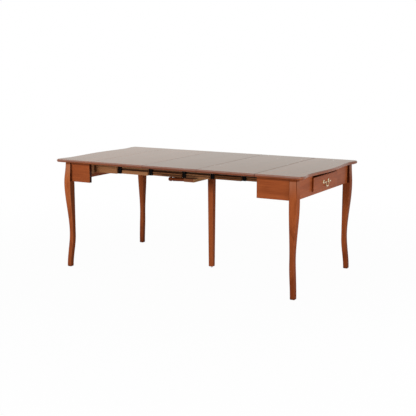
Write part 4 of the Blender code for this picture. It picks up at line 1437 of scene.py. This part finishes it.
# %% [markdown]
# ## Room and floor
# The photograph is a studio shot on white.  More light would also make the ground white, but it would
# wash out the wood.  So the room lights the table as an even pale grey, and what the camera, a mirror or
# glass sees of the room is white.  The floor glows almost white in the same way, and the small rest is
# matt paint that keeps the table's faint shadow.

# %% Room
WHITE = (1.0, 1.0, 1.0, 1.0)
ROOM_LIGHT = 0.35


def seen_directly(tree):
    """1 where a ray comes from the camera, a mirror or glass, and 0 where it only carries light."""
    camera_ray = Value.node(tree, "ShaderNodeLightPath", output="Is Camera Ray")
    glossy_ray = Value.node(tree, "ShaderNodeLightPath", output="Is Glossy Ray")
    glass_ray = Value.node(tree, "ShaderNodeLightPath", output="Is Transmission Ray")
    return camera_ray.math("MAXIMUM", glossy_ray).math("MAXIMUM", glass_ray)


world = bpy.data.worlds.new("room")
bpy.context.scene.world = world
world.use_nodes = True
room = world.node_tree
room.nodes.clear()
lighting = Value.node(room, "ShaderNodeBackground", {}, {"Color": WHITE, "Strength": ROOM_LIGHT})
backdrop = Value.node(room, "ShaderNodeBackground", {}, {"Color": WHITE, "Strength": 1.0})
sky = Value.node(room, "ShaderNodeMixShader", {}, {0: seen_directly(room), 1: lighting, 2: backdrop})
Value.node(room, "ShaderNodeOutputWorld", {}, {"Surface": sky})
print("room:", len(room.nodes), "nodes")

# %% Floor
FLOOR_HALF = 14.0
FLOOR_GAP = 0.0004
FLOOR_GREYS = ((0.43, 0.43, 0.43, 1.0), (0.47, 0.47, 0.47, 1.0))
FLOOR_GRAINS = (0.6, 0.6, 0.6)
FLOOR_WHITE = 0.975
FADE_START = 1.3
FADE_LENGTH = 2.2


def floor_paint(tree):
    """Pale paint that looks white and keeps a faint shadow round the table."""
    place = Value.node(tree, "ShaderNodeTexCoord", output="Object")
    colour = blended(tree, *FLOOR_GREYS, scattered(tree, place, FLOOR_GRAINS, detail=2.0))
    matt = Value.node(tree, "ShaderNodeBsdfDiffuse", {}, {"Color": colour})
    glow = Value.node(tree, "ShaderNodeEmission", {}, {"Color": WHITE, "Strength": 1.0})
    reach = Value.node(tree, "ShaderNodeVectorMath", {"operation": "LENGTH"}, {0: place}, output="Value")
    far = ((reach - FADE_START) / FADE_LENGTH).math("MAXIMUM", 0.0).math("MINIMUM", 1.0)
    share = seen_directly(tree) * (far * (1.0 - FLOOR_WHITE) + FLOOR_WHITE)
    return Value.node(tree, "ShaderNodeMixShader", {}, {0: share, 1: matt, 2: glow})


bm = bmesh.new()
bmesh.ops.create_grid(bm, x_segments=1, y_segments=1, size=FLOOR_HALF)
bmesh.ops.translate(bm, vec=(0.0, 0.0, SOLIDS_LOW.z - FLOOR_GAP), verts=bm.verts)
floor_mesh = bpy.data.meshes.new("floor")
bm.to_mesh(floor_mesh)
bm.free()
floor_mesh.materials.append(shaded("floor_paint", floor_paint))
floor = bpy.data.objects.new("floor", floor_mesh)
bpy.context.scene.collection.objects.link(floor)
print("floor:", 2 * FLOOR_HALF, "m wide")

# %% [markdown]
# ## Lamps
# A large soft lamp from the front left lights the long side, a smaller one from the right lights the
# drawer end, and a third from behind keeps the back from going dark.  Points of light would throw hard
# shadows, so all three are wide area lamps.  The lacquer doesn't mirror them, because the photograph
# shows no bright panes in it.

# %% Lamps
MIDDLE = Vector((0.0, 0.0, 0.5))


def soft_lamp(name, direction, distance, wide, tall, watts):
    """A wide flat lamp that faces the table from a direction."""
    lamp = bpy.data.lights.new(name, "AREA")
    lamp.shape = "RECTANGLE"
    lamp.size = wide
    lamp.size_y = tall
    lamp.energy = watts
    lit = bpy.data.objects.new(name, lamp)
    bpy.context.scene.collection.objects.link(lit)
    lit.location = MIDDLE + Vector(direction).normalized() * distance
    lit.rotation_mode = "QUATERNION"
    lit.rotation_quaternion = (MIDDLE - lit.location).to_track_quat("-Z", "Y")
    lit.visible_camera = False
    lit.visible_glossy = False
    return lit


lamps = [
    soft_lamp("key", (-0.16, -1.0, 0.28), distance=8.0, wide=3.2, tall=2.0, watts=432.0),
    soft_lamp("fill", (1.0, -0.30, 0.02), distance=2.8, wide=1.6, tall=0.8, watts=27.0),
    soft_lamp("back", (-0.40, 1.0, 0.30), distance=8.0, wide=3.2, tall=2.0, watts=260.0),
]
print("lamps:", [(lamp.name, lamp.data.energy) for lamp in lamps])

# %% [markdown]
# ## Camera
# The camera stands off the table's front right corner, about twice as high as the top.  It could be
# placed by eye, but its place, turn and focal length were fitted to the photograph instead, from the
# corners of the top, the feet and the seams.  The focal length is in pixels of the picture, and
# Blender's lens follows from it.

# %% Camera
CAMERA_PLACE = Vector((2.98925, -5.2119, 1.5010))
CAMERA_YAW = math.radians(29.684)
CAMERA_PITCH = math.radians(-10.060)
FOCAL_PIXELS = 846.4
FRAME_PIXELS = 416
SENSOR = 36.0

camera_data = bpy.data.cameras.new("camera")
camera_data.sensor_width = SENSOR
camera_data.lens = SENSOR * FOCAL_PIXELS / FRAME_PIXELS
camera = bpy.data.objects.new("camera", camera_data)
bpy.context.scene.collection.objects.link(camera)
camera.location = CAMERA_PLACE
camera.rotation_euler = (math.pi / 2 + CAMERA_PITCH, 0.0, CAMERA_YAW)
bpy.context.scene.camera = camera
bpy.context.scene.view_settings.view_transform = "Standard"
print("camera:", round(camera_data.lens, 2), "mm lens")
